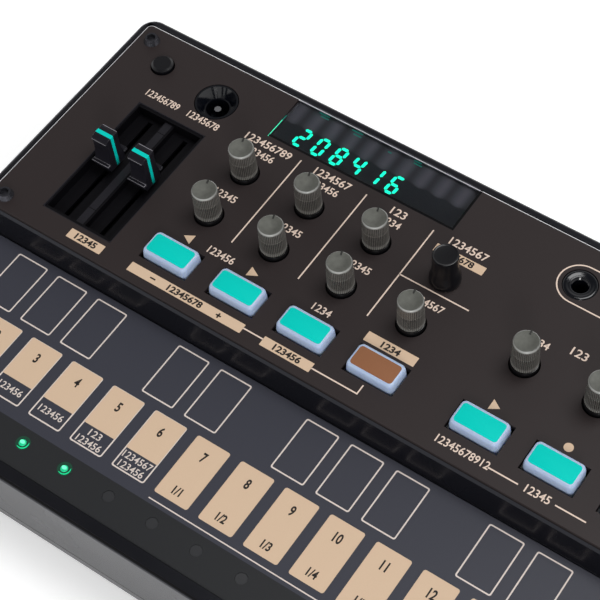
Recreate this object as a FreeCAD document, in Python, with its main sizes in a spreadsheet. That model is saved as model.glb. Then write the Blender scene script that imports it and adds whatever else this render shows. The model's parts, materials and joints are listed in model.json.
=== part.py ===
import FreeCAD, Part
import Sketcher
import math
import os
import re

# Desktop FM synthesizer with a touch keyboard, in millimetres.
# The origin is the middle of the footprint on the table: +X to the right, +Y to the back, +Z up.

Vector = FreeCAD.Vector

# Driving dimensions. Heights are above the table, places are from the origin.
SIZES = {
    # housing
    "case_width": 193.0,
    "case_depth": 115.0,
    "top_width": 192.8,
    "top_depth": 113.2,
    "corner_round": 4.0,
    "wall": 2.2,
    "underside": 1.2,
    "parting": 5.3,
    "front_level": 23.1,
    "key_level": 22.8,
    "panel_level": 30.0,
    "step_foot": -9.1,
    "step_brow": -7.8,
    "step_lean": 0.35,
    "step_edge": 0.65,
    "seam": 0.25,
    "floor_top": 3.2,
    "roof": 2.0,
    "ledge": 2.5,
    "deck_ledge": 1.5,
    "lip_gap": 0.2,
    "lip_thick": 1.1,
    "lip_height": 4.2,
    "tower_top": 9.0,
    "post_foot": 9.2,
    "post_gap": 0.6,
    # control panel plate
    "plate_width": 189.6,
    "plate_front": -7.1,
    "plate_back": 54.65,
    "plate_thick": 1.6,
    "seat_gap": 0.15,
    "notch_reach": 20.0,
    # keyboard plates
    "deck_width": 187.2,
    "deck_back": -9.4,
    "deck_split": -44.7,
    "deck_front": -53.4,
    "deck_thick": 0.8,
    "key_pitch": 11.2,
    "lamp_line": -47.8,
    "lamp_hole": 1.4,
    # rotary controls
    "knob_radius": 3.0,
    "knob_top": 39.1,
    "knob_hole": 3.43,
    "knob_foot": 22.95,
    "fit": 0.05,
    "knob_chamfer": 0.4,
    "notch_length": 1.7,
    "notch_width": 0.5,
    "notch_depth": 2.0,
    "knob_lift": 0.35,
    "skirt_reach": 0.5,
    "skirt_height": 1.9,
    "flare_height": 2.9,
    "spindle_radius": 2.0,
    "mod_x": -49.1,
    "car_x": -31.5,
    "lfo_x": -13.8,
    "prog_x": 4.05,
    "arp_x": 29.3,
    "div_x": 46.8,
    "tempo_x": 64.6,
    "volume_x": 82.2,
    "rear_row": 30.2,
    "front_row": 16.7,
    "side_row": 21.0,
    # push buttons
    "button_row": 3.35,
    "button_width": 12.0,
    "button_depth": 7.0,
    "button_top": 31.9,
    "button_gap": 0.3,
    "button_foot": 26.6,
    "cap_foot": 29.6,
    "flange_thick": 1.2,
    "flange_reach": 0.6,
    "stem_inset": 0.4,
    "peg_width": 4.0,
    "peg_drop": 1.0,
    "mat_depth": 7.8,
    "mat_thick": 0.8,
    "dome_radius": 3.4,
    "dome_height": 2.7,
    # sliders
    "well_x": -72.45,
    "well_y": 16.4,
    "well_width": 19.1,
    "well_length": 35.2,
    "well_floor": 27.2,
    "well_rim": 0.9,
    "well_flange": 2.0,
    "well_base": 0.8,
    "divider": 2.4,
    "divider_drop": 1.1,
    "track_x": -72.57,
    "track_gap": 10.15,
    "cap_y": 17.65,
    "cap_top": 38.2,
    "cap_ledge": 31.3,
    "cap_floor": 28.5,
    "cap_width": 4.2,
    "cap_foot_width": 4.8,
    "cap_foot_length": 7.0,
    "cap_waist": 4.7,
    "cap_head": 4.1,
    "cap_hollow": 0.35,
    "lever_top": 35.4,
    "frame_width": 8.0,
    "frame_wall": 0.8,
    "frame_end": 2.25,
    "carriage_width": 5.6,
    "carriage_height": 2.2,
    "lever_width": 1.2,
    "lever_depth": 3.6,
    "track_length": 31.0,
    # display
    "window_left": -51.1,
    "window_right": -1.35,
    "window_front": 41.85,
    "window_gap": 0.25,
    "module_top": 27.9,
    "module_x": -26.6,
    "module_y": 46.3,
    "module_width": 43.0,
    "module_depth": 11.4,
    # sockets on the rear edge
    "socket_row": 44.4,
    "sync_in_x": 29.2,
    "sync_out_x": 41.2,
    "midi_out_x": 53.2,
    "phones_x": 83.6,
    "jack_bore": 1.8,
    "bushing_radius": 3.3,
    "bushing_drop": 0.4,
    "funnel": 0.38,
    "jack_width": 8.6,
    "jack_depth": 9.0,
    "jack_height": 4.8,
    "jack_hole": 4.0,
    "midi_x": 69.6,
    "midi_y": 43.0,
    "midi_radius": 8.0,
    "midi_ring": 0.9,
    "midi_groove": 1.0,
    "midi_depth": 5.5,
    "dc_x": -66.8,
    "dc_y": 43.5,
    "dc_radius": 5.1,
    "dc_bore": 2.75,
    "dc_pin": 0.85,
    "dc_dish": 2.3,
    "dc_case": 11.0,
    "dc_height": 5.2,
    "dc_floor": 0.9,
    "dc_reach": 4.8,
    "power_x": -84.0,
    "power_y": 45.5,
    "power_radius": 2.6,
    "power_rise": 0.7,
    "power_foot": 26.3,
    # boards
    "board_level": 20.2,
    "board_thick": 1.6,
    "board_gap": 0.6,
    "chip_thick": 1.2,
    "pot_width": 9.8,
    "pot_depth": 11.2,
    "pot_height": 4.4,
    "encoder_width": 11.0,
    "encoder_depth": 12.0,
    "encoder_neck": 3.2,
    "encoder_rise": 2.0,
    "shaft_top": 36.5,
    "touch_board_level": 20.3,
    "touch_board_thick": 0.8,
    # screws and the bosses that take them
    "post_x": 91.0,
    "post_back": 50.4,
    "post_front": -3.4,
    "post_near": -50.2,
    "boss_width": 4.6,
    "tower_width": 6.2,
    "tower_foot": 8.4,
    "lug_width": 5.6,
    "screw_radius": 1.2,
    "pilot_radius": 1.25,
    "shank_hole": 1.6,
    "head_radius": 2.5,
    "head_thick": 1.8,
    "head_bore": 2.8,
    "head_seat": 4.6,
    "shank_reach": 12.4,
    "front_pilot": 9.0,
    "lug_pilot": 5.2,
    "lug_shank": 4.6,
    "plate_shank": 7.0,
    "socket_radius": 1.1,
    "socket_floor": 0.4,
    "button_head": 2.0,
    "button_crown": 1.45,
    "button_rise": 1.2,
    "pan_radius": 1.9,
    "pan_thick": 1.3,
    # battery bay
    "bay_x": 31.0,
    "bay_y": 0.5,
    "bay_width": 108.0,
    "bay_depth": 51.0,
    "bay_top": 18.3,
    "bay_wall": 1.5,
    "bay_roof": 1.4,
    "rest_width": 4.0,
    "cell_radius": 7.1,
    "cell_length": 50.5,
    "cell_pitch": 15.2,
    "cell_level": 10.9,
    "cell_gap": 0.9,
    "nub_radius": 2.7,
    "nub_length": 1.4,
    "contact_width": 11.0,
    "contact_thick": 1.0,
    "link_width": 7.0,
    "lid_width": 104.0,
    "lid_depth": 46.0,
    "lid_thick": 2.0,
    "lid_gap": 0.3,
    "hook_reach": 34.0,
    "hook_width": 8.0,
    "grip_width": 22.0,
    # speaker
    "speaker_x": -60.0,
    "speaker_y": 2.0,
    "speaker_radius": 22.0,
    "flange_height": 1.2,
    "clip_width": 6.0,
    "clip_thick": 1.6,
    "clip_height": 4.4,
    "arm_width": 6.0,
    "arm_thick": 1.6,
    "bar_thick": 0.8,
    "magnet_radius": 10.5,
    "magnet_height": 5.0,
    "magnet_foot": 6.0,
    "voice_radius": 4.6,
    # feet
    "foot_x": 84.0,
    "foot_y": 46.0,
    "foot_radius": 5.0,
}

doc = FreeCAD.newDocument("Synthesizer")
sheet = doc.addObject("Spreadsheet::Sheet", "Sizes")
for row, (alias, value) in enumerate(SIZES.items(), start=1):
    sheet.set(f"A{row}", alias)
    sheet.set(f"B{row}", str(value))
    sheet.setAlias(f"B{row}", alias)
doc.recompute()

WORD = re.compile(r"[a-z][a-z_]*")
nodes = []


def bind(thing, prop, formula):
    """Binds a property to a formula written with the sheet's own words."""
    thing.setExpression(prop, WORD.sub(r"Sizes.\g<0>", str(formula)))


def size(word):
    """The value of one cell, for the shapes made by hand."""
    return float(sheet.get(word))


def node(thing, label):
    """Marks an object as a finished sub-part."""
    thing.Label = label
    nodes.append(thing)
    return thing


def place(thing, x, y, z):
    """Binds the three coordinates of a placement."""
    bind(thing, ".Placement.Base.x", x)
    bind(thing, ".Placement.Base.y", y)
    bind(thing, ".Placement.Base.z", z)


def box(width, depth, height, x, y, z):
    """A block centred on x and y, standing on z."""
    block = doc.addObject("Part::Box", "Block")
    bind(block, "Length", width)
    bind(block, "Width", depth)
    bind(block, "Height", height)
    place(block, f"({x}) - ({width}) / 2", f"({y}) - ({depth}) / 2", z)
    return block


def cylinder(radius, height, x, y, z):
    """An upright cylinder standing on z."""
    rod = doc.addObject("Part::Cylinder", "Rod")
    bind(rod, "Radius", radius)
    bind(rod, "Height", height)
    place(rod, x, y, z)
    return rod


def cone(foot, head, height, x, y, z):
    """An upright cone standing on z, with its two radii."""
    taper = doc.addObject("Part::Cone", "Taper")
    bind(taper, "Radius1", foot)
    bind(taper, "Radius2", head)
    bind(taper, "Height", height)
    place(taper, x, y, z)
    return taper


def prism(sides, radius, height, x, y, z):
    """An upright bar with flat sides standing on z, with the radius of its corners."""
    bar = doc.addObject("Part::Prism", "Bar")
    bar.Polygon = sides
    bind(bar, "Circumradius", radius)
    bind(bar, "Height", height)
    place(bar, x, y, z)
    return bar


def along_x(upright, length, x, y, z):
    """Lays an upright piece along X, centred on x."""
    upright.Placement.Rotation = FreeCAD.Rotation(Vector(0, 1, 0), 90)
    place(upright, f"({x}) - ({length}) / 2", y, z)
    return upright


def made(shape, name):
    """Holds a shape that is made with Part's own functions."""
    thing = doc.addObject("Part::Feature", name)
    thing.Shape = shape
    return thing


def fuse(*parts):
    """Joins pieces into one solid."""
    joined = doc.addObject("Part::MultiFuse", "Joined")
    joined.Shapes = list(parts)
    joined.Refine = True
    return joined


def group(*parts):
    """Keeps separate solids together in one sub-part."""
    kept = doc.addObject("Part::Compound", "Group")
    kept.Links = list(parts)
    return kept


def cut(base, *tools):
    """Takes the tools away from the base."""
    hollowed = doc.addObject("Part::Cut", "Hollowed")
    hollowed.Base = base
    hollowed.Tool = tools[0] if len(tools) == 1 else group(*tools)
    hollowed.Refine = True
    return hollowed


def new_body(name):
    """A body with its own origin planes."""
    return doc.addObject("PartDesign::Body", name)


def new_sketch(body, name, role="XY_Plane", lift=None):
    """A sketch on one of the body's origin planes, lifted along its normal."""
    sketch = body.newObject("Sketcher::SketchObject", name)
    plane = next(f for f in body.Origin.OriginFeatures if f.Role == role)
    sketch.AttachmentSupport = (plane, [""])
    sketch.MapMode = "FlatFace"
    if lift is not None:
        bind(sketch, "AttachmentOffset.Base.z", lift)
    return sketch


def dimension(sketch, formula, kind, *target):
    """Adds a dimension to a sketch and binds it."""
    index = sketch.addConstraint(Sketcher.Constraint(kind, *target))
    bind(sketch, f"Constraints[{index}]", formula)


def sketch_rectangle(sketch, width, depth, x="0", y="0"):
    """A rectangle centred on x and y in the sketch."""
    first = sketch.GeometryCount
    corners = [Vector(-5, -5, 0), Vector(5, -5, 0), Vector(5, 5, 0), Vector(-5, 5, 0)]
    for corner in range(4):
        line = Part.LineSegment(corners[corner], corners[(corner + 1) % 4])
        sketch.addGeometry(line, False)
    for corner in range(4):
        ends = (first + corner, 2, first + (corner + 1) % 4, 1)
        sketch.addConstraint(Sketcher.Constraint("Coincident", *ends))
    for side in (0, 2):
        sketch.addConstraint(Sketcher.Constraint("Horizontal", first + side))
        sketch.addConstraint(Sketcher.Constraint("Vertical", first + side + 1))
    dimension(sketch, width, "DistanceX", first, 1, first, 2, 10.0)
    dimension(sketch, depth, "DistanceY", first + 1, 1, first + 1, 2, 10.0)
    dimension(sketch, f"({x}) - ({width}) / 2", "DistanceX", -1, 1, first, 1, -5.0)
    dimension(sketch, f"({y}) - ({depth}) / 2", "DistanceY", -1, 1, first, 1, -5.0)


def sketch_circle(sketch, radius, x="0", y="0"):
    """A circle with its centre on x and y in the sketch."""
    index = sketch.addGeometry(Part.Circle(Vector(1, 1, 0), Vector(0, 0, 1), 2.0), False)
    dimension(sketch, radius, "Radius", index, 2.0)
    dimension(sketch, x, "DistanceX", -1, 1, index, 3, 1.0)
    dimension(sketch, y, "DistanceY", -1, 1, index, 3, 1.0)


def sketch_profile(sketch, corners):
    """A closed outline through corners, each given as two formulas."""
    first = sketch.GeometryCount
    count = len(corners)
    points = []
    for corner in corners:
        values = [sheet_value(formula) for formula in corner]
        points.append(Vector(values[0], values[1], 0))
    for corner in range(count):
        line = Part.LineSegment(points[corner], points[(corner + 1) % count])
        sketch.addGeometry(line, False)
    for corner in range(count):
        ends = (first + corner, 2, first + (corner + 1) % count, 1)
        sketch.addConstraint(Sketcher.Constraint("Coincident", *ends))
    for corner, (across, up) in enumerate(corners):
        point = points[corner]
        dimension(sketch, across, "DistanceX", -1, 1, first + corner, 1, point.x)
        dimension(sketch, up, "DistanceY", -1, 1, first + corner, 1, point.y)


def sheet_value(formula):
    """Works a formula out in a spare cell of the sheet."""
    sheet.set("D1", "=" + str(formula))
    sheet.recompute()
    return float(sheet.get("D1"))


def pad(body, sketch, height, taper=0.0):
    """Raises a sketch by a bound height."""
    raised = body.newObject("PartDesign::Pad", "Pad")
    raised.Profile = sketch
    bind(raised, "Length", height)
    raised.TaperAngle = taper
    return raised


def pocket_through(body, sketch):
    """Cuts a sketch through the whole body."""
    hole = body.newObject("PartDesign::Pocket", "Pocket")
    hole.Profile = sketch
    hole.Type = "ThroughAll"
    hole.Midplane = True
    return hole


def revolve(body, sketch):
    """Turns a profile drawn right of the sketch's upright axis into a round solid."""
    turned = body.newObject("PartDesign::Revolution", "Revolution")
    turned.Profile = sketch
    turned.ReferenceAxis = (sketch, ["V_Axis"])
    turned.Angle = 360.0
    return turned


def edge_names(shape, wanted):
    """The names of the edges that a test picks."""
    return [f"Edge{i}" for i, edge in enumerate(shape.Edges, start=1) if wanted(edge)]


def is_upright(edge):
    """True for a straight edge along Z."""
    bounds = edge.BoundBox
    return bounds.ZLength > 0.3 and bounds.XLength + bounds.YLength < 0.3


def soften(body, kind, edges, amount):
    """Adds a fillet or a chamfer to named edges of the body's last feature."""
    doc.recompute()
    base = body.Tip
    names = edge_names(base.Shape, edges)
    dress = body.newObject(f"PartDesign::{kind}", kind)
    dress.Base = (base, names)
    if kind == "Fillet":
        dress.Radius = amount
    else:
        dress.Size = amount
    return dress


# Places of the repeated controls, as the sheet's words.
CLEAR_KNOBS = {
    "knob_mod_attack": ("mod_x", "rear_row"),
    "knob_mod_decay": ("mod_x", "front_row"),
    "knob_car_attack": ("car_x", "rear_row"),
    "knob_car_decay": ("car_x", "front_row"),
    "knob_lfo_rate": ("lfo_x", "rear_row"),
    "knob_lfo_depth": ("lfo_x", "front_row"),
    "knob_algorithm": ("prog_x", "front_row"),
    "knob_arp_type": ("arp_x", "side_row"),
    "knob_arp_division": ("div_x", "side_row"),
    "knob_tempo": ("tempo_x", "side_row"),
    "knob_volume": ("volume_x", "side_row"),
}
# Way that each knob's notch points, in degrees from +X.
POINTER = {
    "knob_mod_attack": 113,
    "knob_mod_decay": 107,
    "knob_car_attack": 110,
    "knob_car_decay": 108,
    "knob_lfo_rate": 106,
    "knob_lfo_depth": 112,
    "knob_algorithm": 104,
    "knob_arp_type": 100,
    "knob_arp_division": 100,
    "knob_tempo": 95,
    "knob_volume": 60,
}
BUTTONS = {
    "button_octave_down": "mod_x - 0.2",
    "button_octave_up": "car_x",
    "button_store": "lfo_x",
    "button_edit": "prog_x",
    "button_play": "arp_x",
    "button_record": "div_x",
    "button_memory": "tempo_x",
    "button_function": "volume_x",
}
JACKS = ["sync_in_x", "sync_out_x", "midi_out_x", "phones_x"]
FRONT_POSTS = [("-post_x", "post_near"), ("post_x", "post_near")]
PLATE_POSTS = [(f"{side}post_x", row) for side in ("-", "") for row in ("post_back", "post_front")]
POSTS = PLATE_POSTS + FRONT_POSTS
KEY_COUNT = 16
LAMPS = [f"({number} - {KEY_COUNT / 2}) * key_pitch + key_pitch / 2" for number in range(KEY_COUNT)]
# Sides of the small and hidden round pieces that repeat, so that their faces stay few.
SHANK_SIDES = 6
SMALL_SIDES = 8
ROUND_SIDES = 12
FLANGE_SIDES = 16
# Radius to the corners of such a piece, over the radius to its flats.
CORNER_SHARE = round(1 / math.cos(math.pi / ROUND_SIDES), 4)
# Height of a cutting tool that passes right through.
PAST = "20"
# Slack for finding edges by their place.
NEAR = 0.01
BRIM_ROUND = 0.9
PLATE_ROUND = 1.6
DECK_ROUND = 1.2
PLATE_CHAMFER = 0.35
BOARD_TOP = "(board_level + board_thick)"
PLATE_FOOT = "(panel_level - plate_thick)"
FRONT_POST = "key_level - deck_thick - post_gap - post_foot"


def rounded_outline(width, depth, radius, z):
    """A rounded rectangle as a wire at one height."""
    face = Part.makePlane(width, depth, Vector(-width / 2, -depth / 2, z))
    prism = face.extrude(Vector(0, 0, 1))
    upright = [e for e in prism.Edges if abs(e.Vertexes[0].Z - e.Vertexes[1].Z) > 0.5]
    rounded = prism.makeFillet(radius, upright)
    bottom = min(rounded.Faces, key=lambda f: f.CenterOfMass.z)
    return bottom.OuterWire


def tapered_block(top_z):
    """The housing's outer form from the parting line up to a height, with its draft."""
    low, high = size("parting"), size("panel_level")
    share = (top_z - low) / (high - low)
    width = size("case_width") + share * (size("top_width") - size("case_width"))
    depth = size("case_depth") + share * (size("top_depth") - size("case_depth"))
    radius = size("corner_round")
    foot = rounded_outline(size("case_width"), size("case_depth"), radius, low)
    head = rounded_outline(width, depth, radius, top_z)
    block = Part.makeLoft([foot, head], True, True)
    brim = [edge for edge in block.Edges if edge.BoundBox.ZMin > top_z - NEAR]
    return block.makeFillet(BRIM_ROUND, brim)


def prism_along_x(outline, width, x=0.0):
    """A solid with an outline in Y and Z, drawn out along X about x."""
    points = [Vector(x - width / 2, y, z) for y, z in outline]
    face = Part.Face(Part.makePolygon(points + [points[0]]))
    return face.extrude(Vector(width, 0, 0))


# Housing

def boss(x, y, height):
    """Square screw boss that is tied into the side wall."""
    side = x.replace("post_x", "")
    inner = "(post_x - boss_width / 2)"
    outer = "(top_width / 2 - wall + lip_gap)"
    return box(f"{outer} - {inner}", "boss_width", height, f"{side}({outer} + {inner}) / 2", y, "post_foot")


def pilot(depth, x, y, z):
    """Pilot hole that a screw cuts its thread in."""
    return prism(SHANK_SIDES, "pilot_radius", depth, x, y, z)


def shank(length, x, y, z):
    """Threaded shank of a small screw."""
    return prism(SHANK_SIDES, "screw_radius", length, x, y, z)


def upper_case():
    """Moulded top: low front with the keyboard's seat, sloped step, high rear with the plate's seat."""
    high, low = size("panel_level"), size("front_level")
    foot, brow = size("step_foot"), size("step_brow")
    lean, edge = size("step_lean"), size("step_edge")
    far, over = size("case_depth"), size("case_width")
    below, above = low - size("wall"), high + size("wall")
    slope = [(-far, below), (foot - lean, below), (foot, low), (brow, high - edge),
             (brow + edge, high), (brow + edge, above), (-far, above)]
    rear = tapered_block(high).cut(prism_along_x(slope, 2 * over))
    form = made(rear.fuse(tapered_block(low)).removeSplitter(), "HousingForm")

    plate_y, plate_deep = "(plate_back + plate_front) / 2", "(plate_back - plate_front)"
    deck_y, deck_deep = "(deck_back + deck_front) / 2", "(deck_back - deck_front)"
    deck_foot = "(key_level - deck_thick)"
    room_width = "top_width - 2 * wall"
    rear_wall = "(top_depth / 2 - wall)"
    rear_room = box(room_width, f"{rear_wall} - {ROOM_FRONT}", f"{PLATE_FOOT} - roof",
                    "0", f"({rear_wall} + {ROOM_FRONT}) / 2", "0")
    front_room = box(room_width, "top_depth - 2 * wall", f"{deck_foot} - roof", "0", "0", "0")
    plate_seat = box("plate_width + 2 * seat_gap", f"{plate_deep} + 2 * seat_gap", PAST,
                     "0", plate_y, PLATE_FOOT)
    plate_opening = box("plate_width - 2 * ledge", f"{plate_deep} - 2 * ledge", PAST,
                        "0", plate_y, f"{PLATE_FOOT} - 2 * roof")
    deck_seat = box("deck_width + 2 * seat_gap", f"{deck_deep} + 2 * seat_gap", PAST, "0", deck_y, deck_foot)
    deck_opening = box("deck_width - 2 * deck_ledge", f"{deck_deep} - 2 * deck_ledge", PAST,
                       "0", deck_y, f"{deck_foot} - 2 * roof")
    shell = cut(form, rear_room, front_room, plate_seat, plate_opening, deck_seat, deck_opening)

    posts = [boss(x, y, f"{PLATE_FOOT} - post_foot") for x, y in PLATE_POSTS]
    posts += [boss(x, y, FRONT_POST) for x, y in FRONT_POSTS]
    lugs = [box("lug_width", depth, f"{PLATE_FOOT} - {BOARD_TOP} - lip_gap", x, y, BOARD_TOP)
            for x, y, depth in LUGS]
    bores = [pilot(PAST, x, y, "tower_top") for x, y in PLATE_POSTS]
    bores += [pilot("front_pilot", x, y, "tower_top") for x, y in FRONT_POSTS]
    bores += [pilot("lug_pilot", x, y, BOARD_TOP) for x, y, depth in LUGS]
    return node(cut(fuse(shell, *posts, *lugs), *bores), "upper_case")


ROOM_FRONT = "(step_brow + wall + 0.3)"
# Lugs under the plate that carry the main board, each with its screw: place and depth.
FRONT_LUG = "step_brow + wall + 2.2"
REAR_LUG = "top_depth / 2 - wall - 3"
LUGS = [("-55", REAR_LUG, "6"), ("20", REAR_LUG, "6"), ("-57.8", FRONT_LUG, "4.2"), ("-28", FRONT_LUG, "4.2")]
# Rests on the battery bay's roof and on the floor, under the two boards.
ROOF_RESTS = [("76", "-2"), ("30", "-2"), ("60", "22"), ("-12", "22")]
BOARD_RESTS = [("-84", "-30"), ("-38", "-36"), ("20", "-40"), ("70", "-40")]
FEET = [(f"{i}foot_x", f"{j}foot_y") for i in ("-", "") for j in ("-", "")]

# Level inside the floor, from which what stands on it is raised.
FLOOR_BITE = "(floor_top - 0.5)"
FOOT_CHAMFER = 1.2


def lower_case():
    """Shallow tray: floor, lip, screw towers, battery bay, board rests and the speaker's slots."""
    width, depth = size("case_width"), size("case_depth")
    foot = size("underside")
    outline = Part.Face(rounded_outline(width, depth, size("corner_round"), foot))
    tray = outline.extrude(Vector(0, 0, size("parting") - size("seam") - foot))
    rim = [edge for edge in tray.Edges if edge.BoundBox.ZMax < foot + NEAR]
    form = made(tray.makeChamfer(FOOT_CHAMFER, rim), "TrayForm")
    room = box("case_width - 2 * wall", "case_depth - 2 * wall", PAST, "0", "0", "floor_top")
    tray_shell = cut(form, room)

    lip_width, lip_deep = "top_width - 2 * wall - 2 * lip_gap", "top_depth - 2 * wall - 2 * lip_gap"
    lip = cut(box(lip_width, lip_deep, "lip_height", "0", "0", "floor_top"),
              box(f"{lip_width} - 2 * lip_thick", f"{lip_deep} - 2 * lip_thick", PAST, "0", "0", "floor_top"))
    bay = cut(box("bay_width + 2 * bay_wall", "bay_depth + 2 * bay_wall", "bay_top + bay_roof - floor_top",
                  "bay_x", "bay_y", "floor_top"),
              box("bay_width", "bay_depth", "bay_top - floor_top", "bay_x", "bay_y", "floor_top"))

    towers = []
    for x, y in POSTS:
        towers.append(box("tower_foot", "tower_foot", f"parting - seam - {FLOOR_BITE}", x, y, FLOOR_BITE))
        towers.append(box("tower_width", "tower_width", f"tower_top - {FLOOR_BITE}", x, y, FLOOR_BITE))
    rests = [box("rest_width", "rest_width", f"touch_board_level - {FLOOR_BITE}", x, y, FLOOR_BITE)
             for x, y in BOARD_RESTS]
    rests += [box("rest_width", "rest_width", "board_level - bay_top", x, y, "bay_top")
              for x, y in ROOF_RESTS]
    clips = []
    for side in (-1, 1):
        reach = f"{side} * (speaker_radius + lid_gap + clip_thick / 2)"
        clips.append(box("clip_width", "clip_thick", "clip_height",
                         "speaker_x", f"speaker_y + {reach}", FLOOR_BITE))
        clips.append(box("clip_thick", "clip_width", "clip_height",
                         f"speaker_x + {reach}", "speaker_y", FLOOR_BITE))
    body = fuse(tray_shell, lip, bay, *towers, *rests, *clips)

    holes = [prism(SHANK_SIDES, "shank_hole", PAST, x, y, "0") for x, y in POSTS]
    holes += [prism(ROUND_SIDES, "head_bore", "head_seat", x, y, "0") for x, y in POSTS]
    holes.append(box("lid_width + 2 * lid_gap", "lid_depth + 4 * lid_gap", "bay_top", "bay_x", "bay_y", "0"))
    holes += speaker_slots()
    return node(cut(body, *holes), "lower_case")


SLOT_COUNT = 9
SLOT_PITCH = 4.2
SLOT_WIDTH = 2.0
SLOT_MARGIN = 3.0


def speaker_slots():
    """Parallel slots, cut to a round field under the speaker."""
    slots = []
    field = size("speaker_radius") - SLOT_MARGIN
    for number in range(SLOT_COUNT):
        offset = (number - (SLOT_COUNT - 1) / 2) * SLOT_PITCH
        reach = 2 * math.sqrt(field ** 2 - offset ** 2)
        slots.append(box(str(round(reach, 2)), str(SLOT_WIDTH), "floor_top + 1",
                         "speaker_x", f"speaker_y + {offset}", "0"))
    return slots


GRIP_LINES = 4


def battery_cover():
    """Flush lid with a rounded hinge edge, two hooks over the floor and a finger grip."""
    front = "(bay_y - lid_depth / 2)"
    leaf = box("lid_width", "lid_depth - lid_thick / 2", "lid_thick",
               "bay_x", "bay_y + lid_thick / 4", "underside")
    rod = cylinder("lid_thick / 2", "lid_width", "bay_x", "bay_y", "underside")
    knuckle = along_x(rod, "lid_width", "bay_x", f"{front} + lid_thick / 2", "underside + lid_thick / 2")
    hooks = []
    for side in (-1, 1):
        x = f"bay_x + {side} * hook_reach"
        hooks.append(box("hook_width", "2.8", "1.0", x, front, "floor_top + 0.3"))
        hooks.append(box("hook_width", "1.6", "2.1", x, f"{front} + 1.2", "underside + 1.2"))
    grip = [box("grip_width", "1.2", "0.6", "bay_x", f"bay_y + lid_depth / 2 - {4 + 2.4 * line}", "underside")
            for line in range(GRIP_LINES)]
    rib = box("lid_width - 12", "1.2", "0.9", "bay_x", "bay_y + 7.6", "floor_top - 0.3")
    return node(cut(fuse(leaf, knuckle, rib, *hooks), *grip), "battery_cover")


def rubber_feet():
    """Four round feet, glued under the corners of the tray."""
    feet = [prism(ROUND_SIDES, "foot_radius", "underside", x, y, "0") for x, y in FEET]
    return node(group(*feet), "rubber_feet")


def case_screws():
    """Six self-tapping screws that hold the two halves together."""
    screws = []
    for x, y in POSTS:
        head = prism(ROUND_SIDES, "head_radius", "head_thick", x, y, "head_seat - head_thick")
        screws.append(fuse(head, shank("shank_reach", x, y, "head_seat")))
    return node(group(*screws), "case_screws")


# Control panel

def panel_plate():
    """Flat plate with every control's hole and the display's notch in its back edge."""
    body = new_body("PanelPlate")
    outline = new_sketch(body, "PlateOutline", lift=PLATE_FOOT)
    sketch_rectangle(outline, "plate_width", "plate_back - plate_front",
                     "0", "(plate_back + plate_front) / 2")
    pad(body, outline, "plate_thick")
    soften(body, "Fillet", is_upright, PLATE_ROUND)
    crest = size("panel_level") - NEAR
    soften(body, "Chamfer", lambda edge: edge.BoundBox.ZMin > crest, PLATE_CHAMFER)

    holes = new_sketch(body, "PlateHoles", lift=PLATE_FOOT)
    for x, y in list(CLEAR_KNOBS.values()) + [("prog_x", "rear_row")]:
        sketch_circle(holes, "knob_hole", x, y)
    for x in JACKS:
        sketch_circle(holes, "jack_hole", x, "socket_row")
    sketch_circle(holes, "midi_radius + seat_gap", "midi_x", "midi_y")
    sketch_circle(holes, "dc_radius + seat_gap", "dc_x", "dc_y")
    sketch_circle(holes, "power_radius + button_gap", "power_x", "power_y")
    sketch_rectangle(holes, "well_width", "well_length", "well_x", "well_y")
    for x in BUTTONS.values():
        sketch_rectangle(holes, "button_width + 2 * button_gap", "button_depth + 2 * button_gap",
                         x, "button_row")
    sketch_rectangle(holes, "window_right - window_left", "notch_reach",
                     "(window_right + window_left) / 2", "window_front + notch_reach / 2")
    pocket_through(body, holes)
    screw_holes = [prism(SHANK_SIDES, "shank_hole", PAST, x, y, f"{PLATE_FOOT} - 1") for x, y in PLATE_POSTS]
    return node(cut(body, *screw_holes), "panel_plate")


def panel_screws():
    """Four button-head screws with hexagon sockets, at the corners of the plate."""
    screws = []
    for x, y in PLATE_POSTS:
        head = cone("button_head", "button_crown", "button_rise", x, y, "panel_level")
        socket = prism(SHANK_SIDES, "socket_radius", "button_rise", x, y, "panel_level + socket_floor")
        thread = shank("plate_shank", x, y, "panel_level - plate_shank")
        screws.append(fuse(cut(head, socket), thread))
    return node(group(*screws), "panel_screws")


# Keyboard

def touch_plate():
    """Printed touch keyboard, one flat plate."""
    body = new_body("TouchPlate")
    outline = new_sketch(body, "TouchOutline", lift="key_level - deck_thick")
    sketch_rectangle(outline, "deck_width", "deck_back - deck_split - 0.1",
                     "0", "(deck_back + deck_split + 0.1) / 2")
    pad(body, outline, "deck_thick")
    rear = size("deck_back") - 1
    soften(body, "Fillet", lambda edge: is_upright(edge) and edge.BoundBox.YMin > rear, DECK_ROUND)
    return node(body, "touch_plate")


def lamp_strip():
    """Dark strip in front of the keys, with one hole for each lamp."""
    strip = box("deck_width", "deck_split - deck_front - 0.1", "deck_thick",
                "0", "(deck_split + deck_front - 0.1) / 2", "key_level - deck_thick")
    holes = [prism(SMALL_SIDES, "lamp_hole", PAST, x, "lamp_line", "key_level - 2 * deck_thick")
             for x in LAMPS]
    return node(cut(strip, *holes), "lamp_strip")


def lamp_lenses():
    """Sixteen clear light guides, seated in the strip's holes."""
    foot = "key_level - deck_thick"
    lenses = [prism(SMALL_SIDES, "lamp_hole - fit", "deck_thick - 0.1", x, "lamp_line", foot) for x in LAMPS]
    return node(group(*lenses), "lamp_lenses")


def lamp_diodes():
    """Sixteen small diodes on the touch board, one under each guide."""
    diodes = [box("1.6", "0.8", "0.6", x, "lamp_line", "touch_board_level + touch_board_thick")
              for x in LAMPS]
    return node(group(*diodes), "lamp_diodes")


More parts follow.
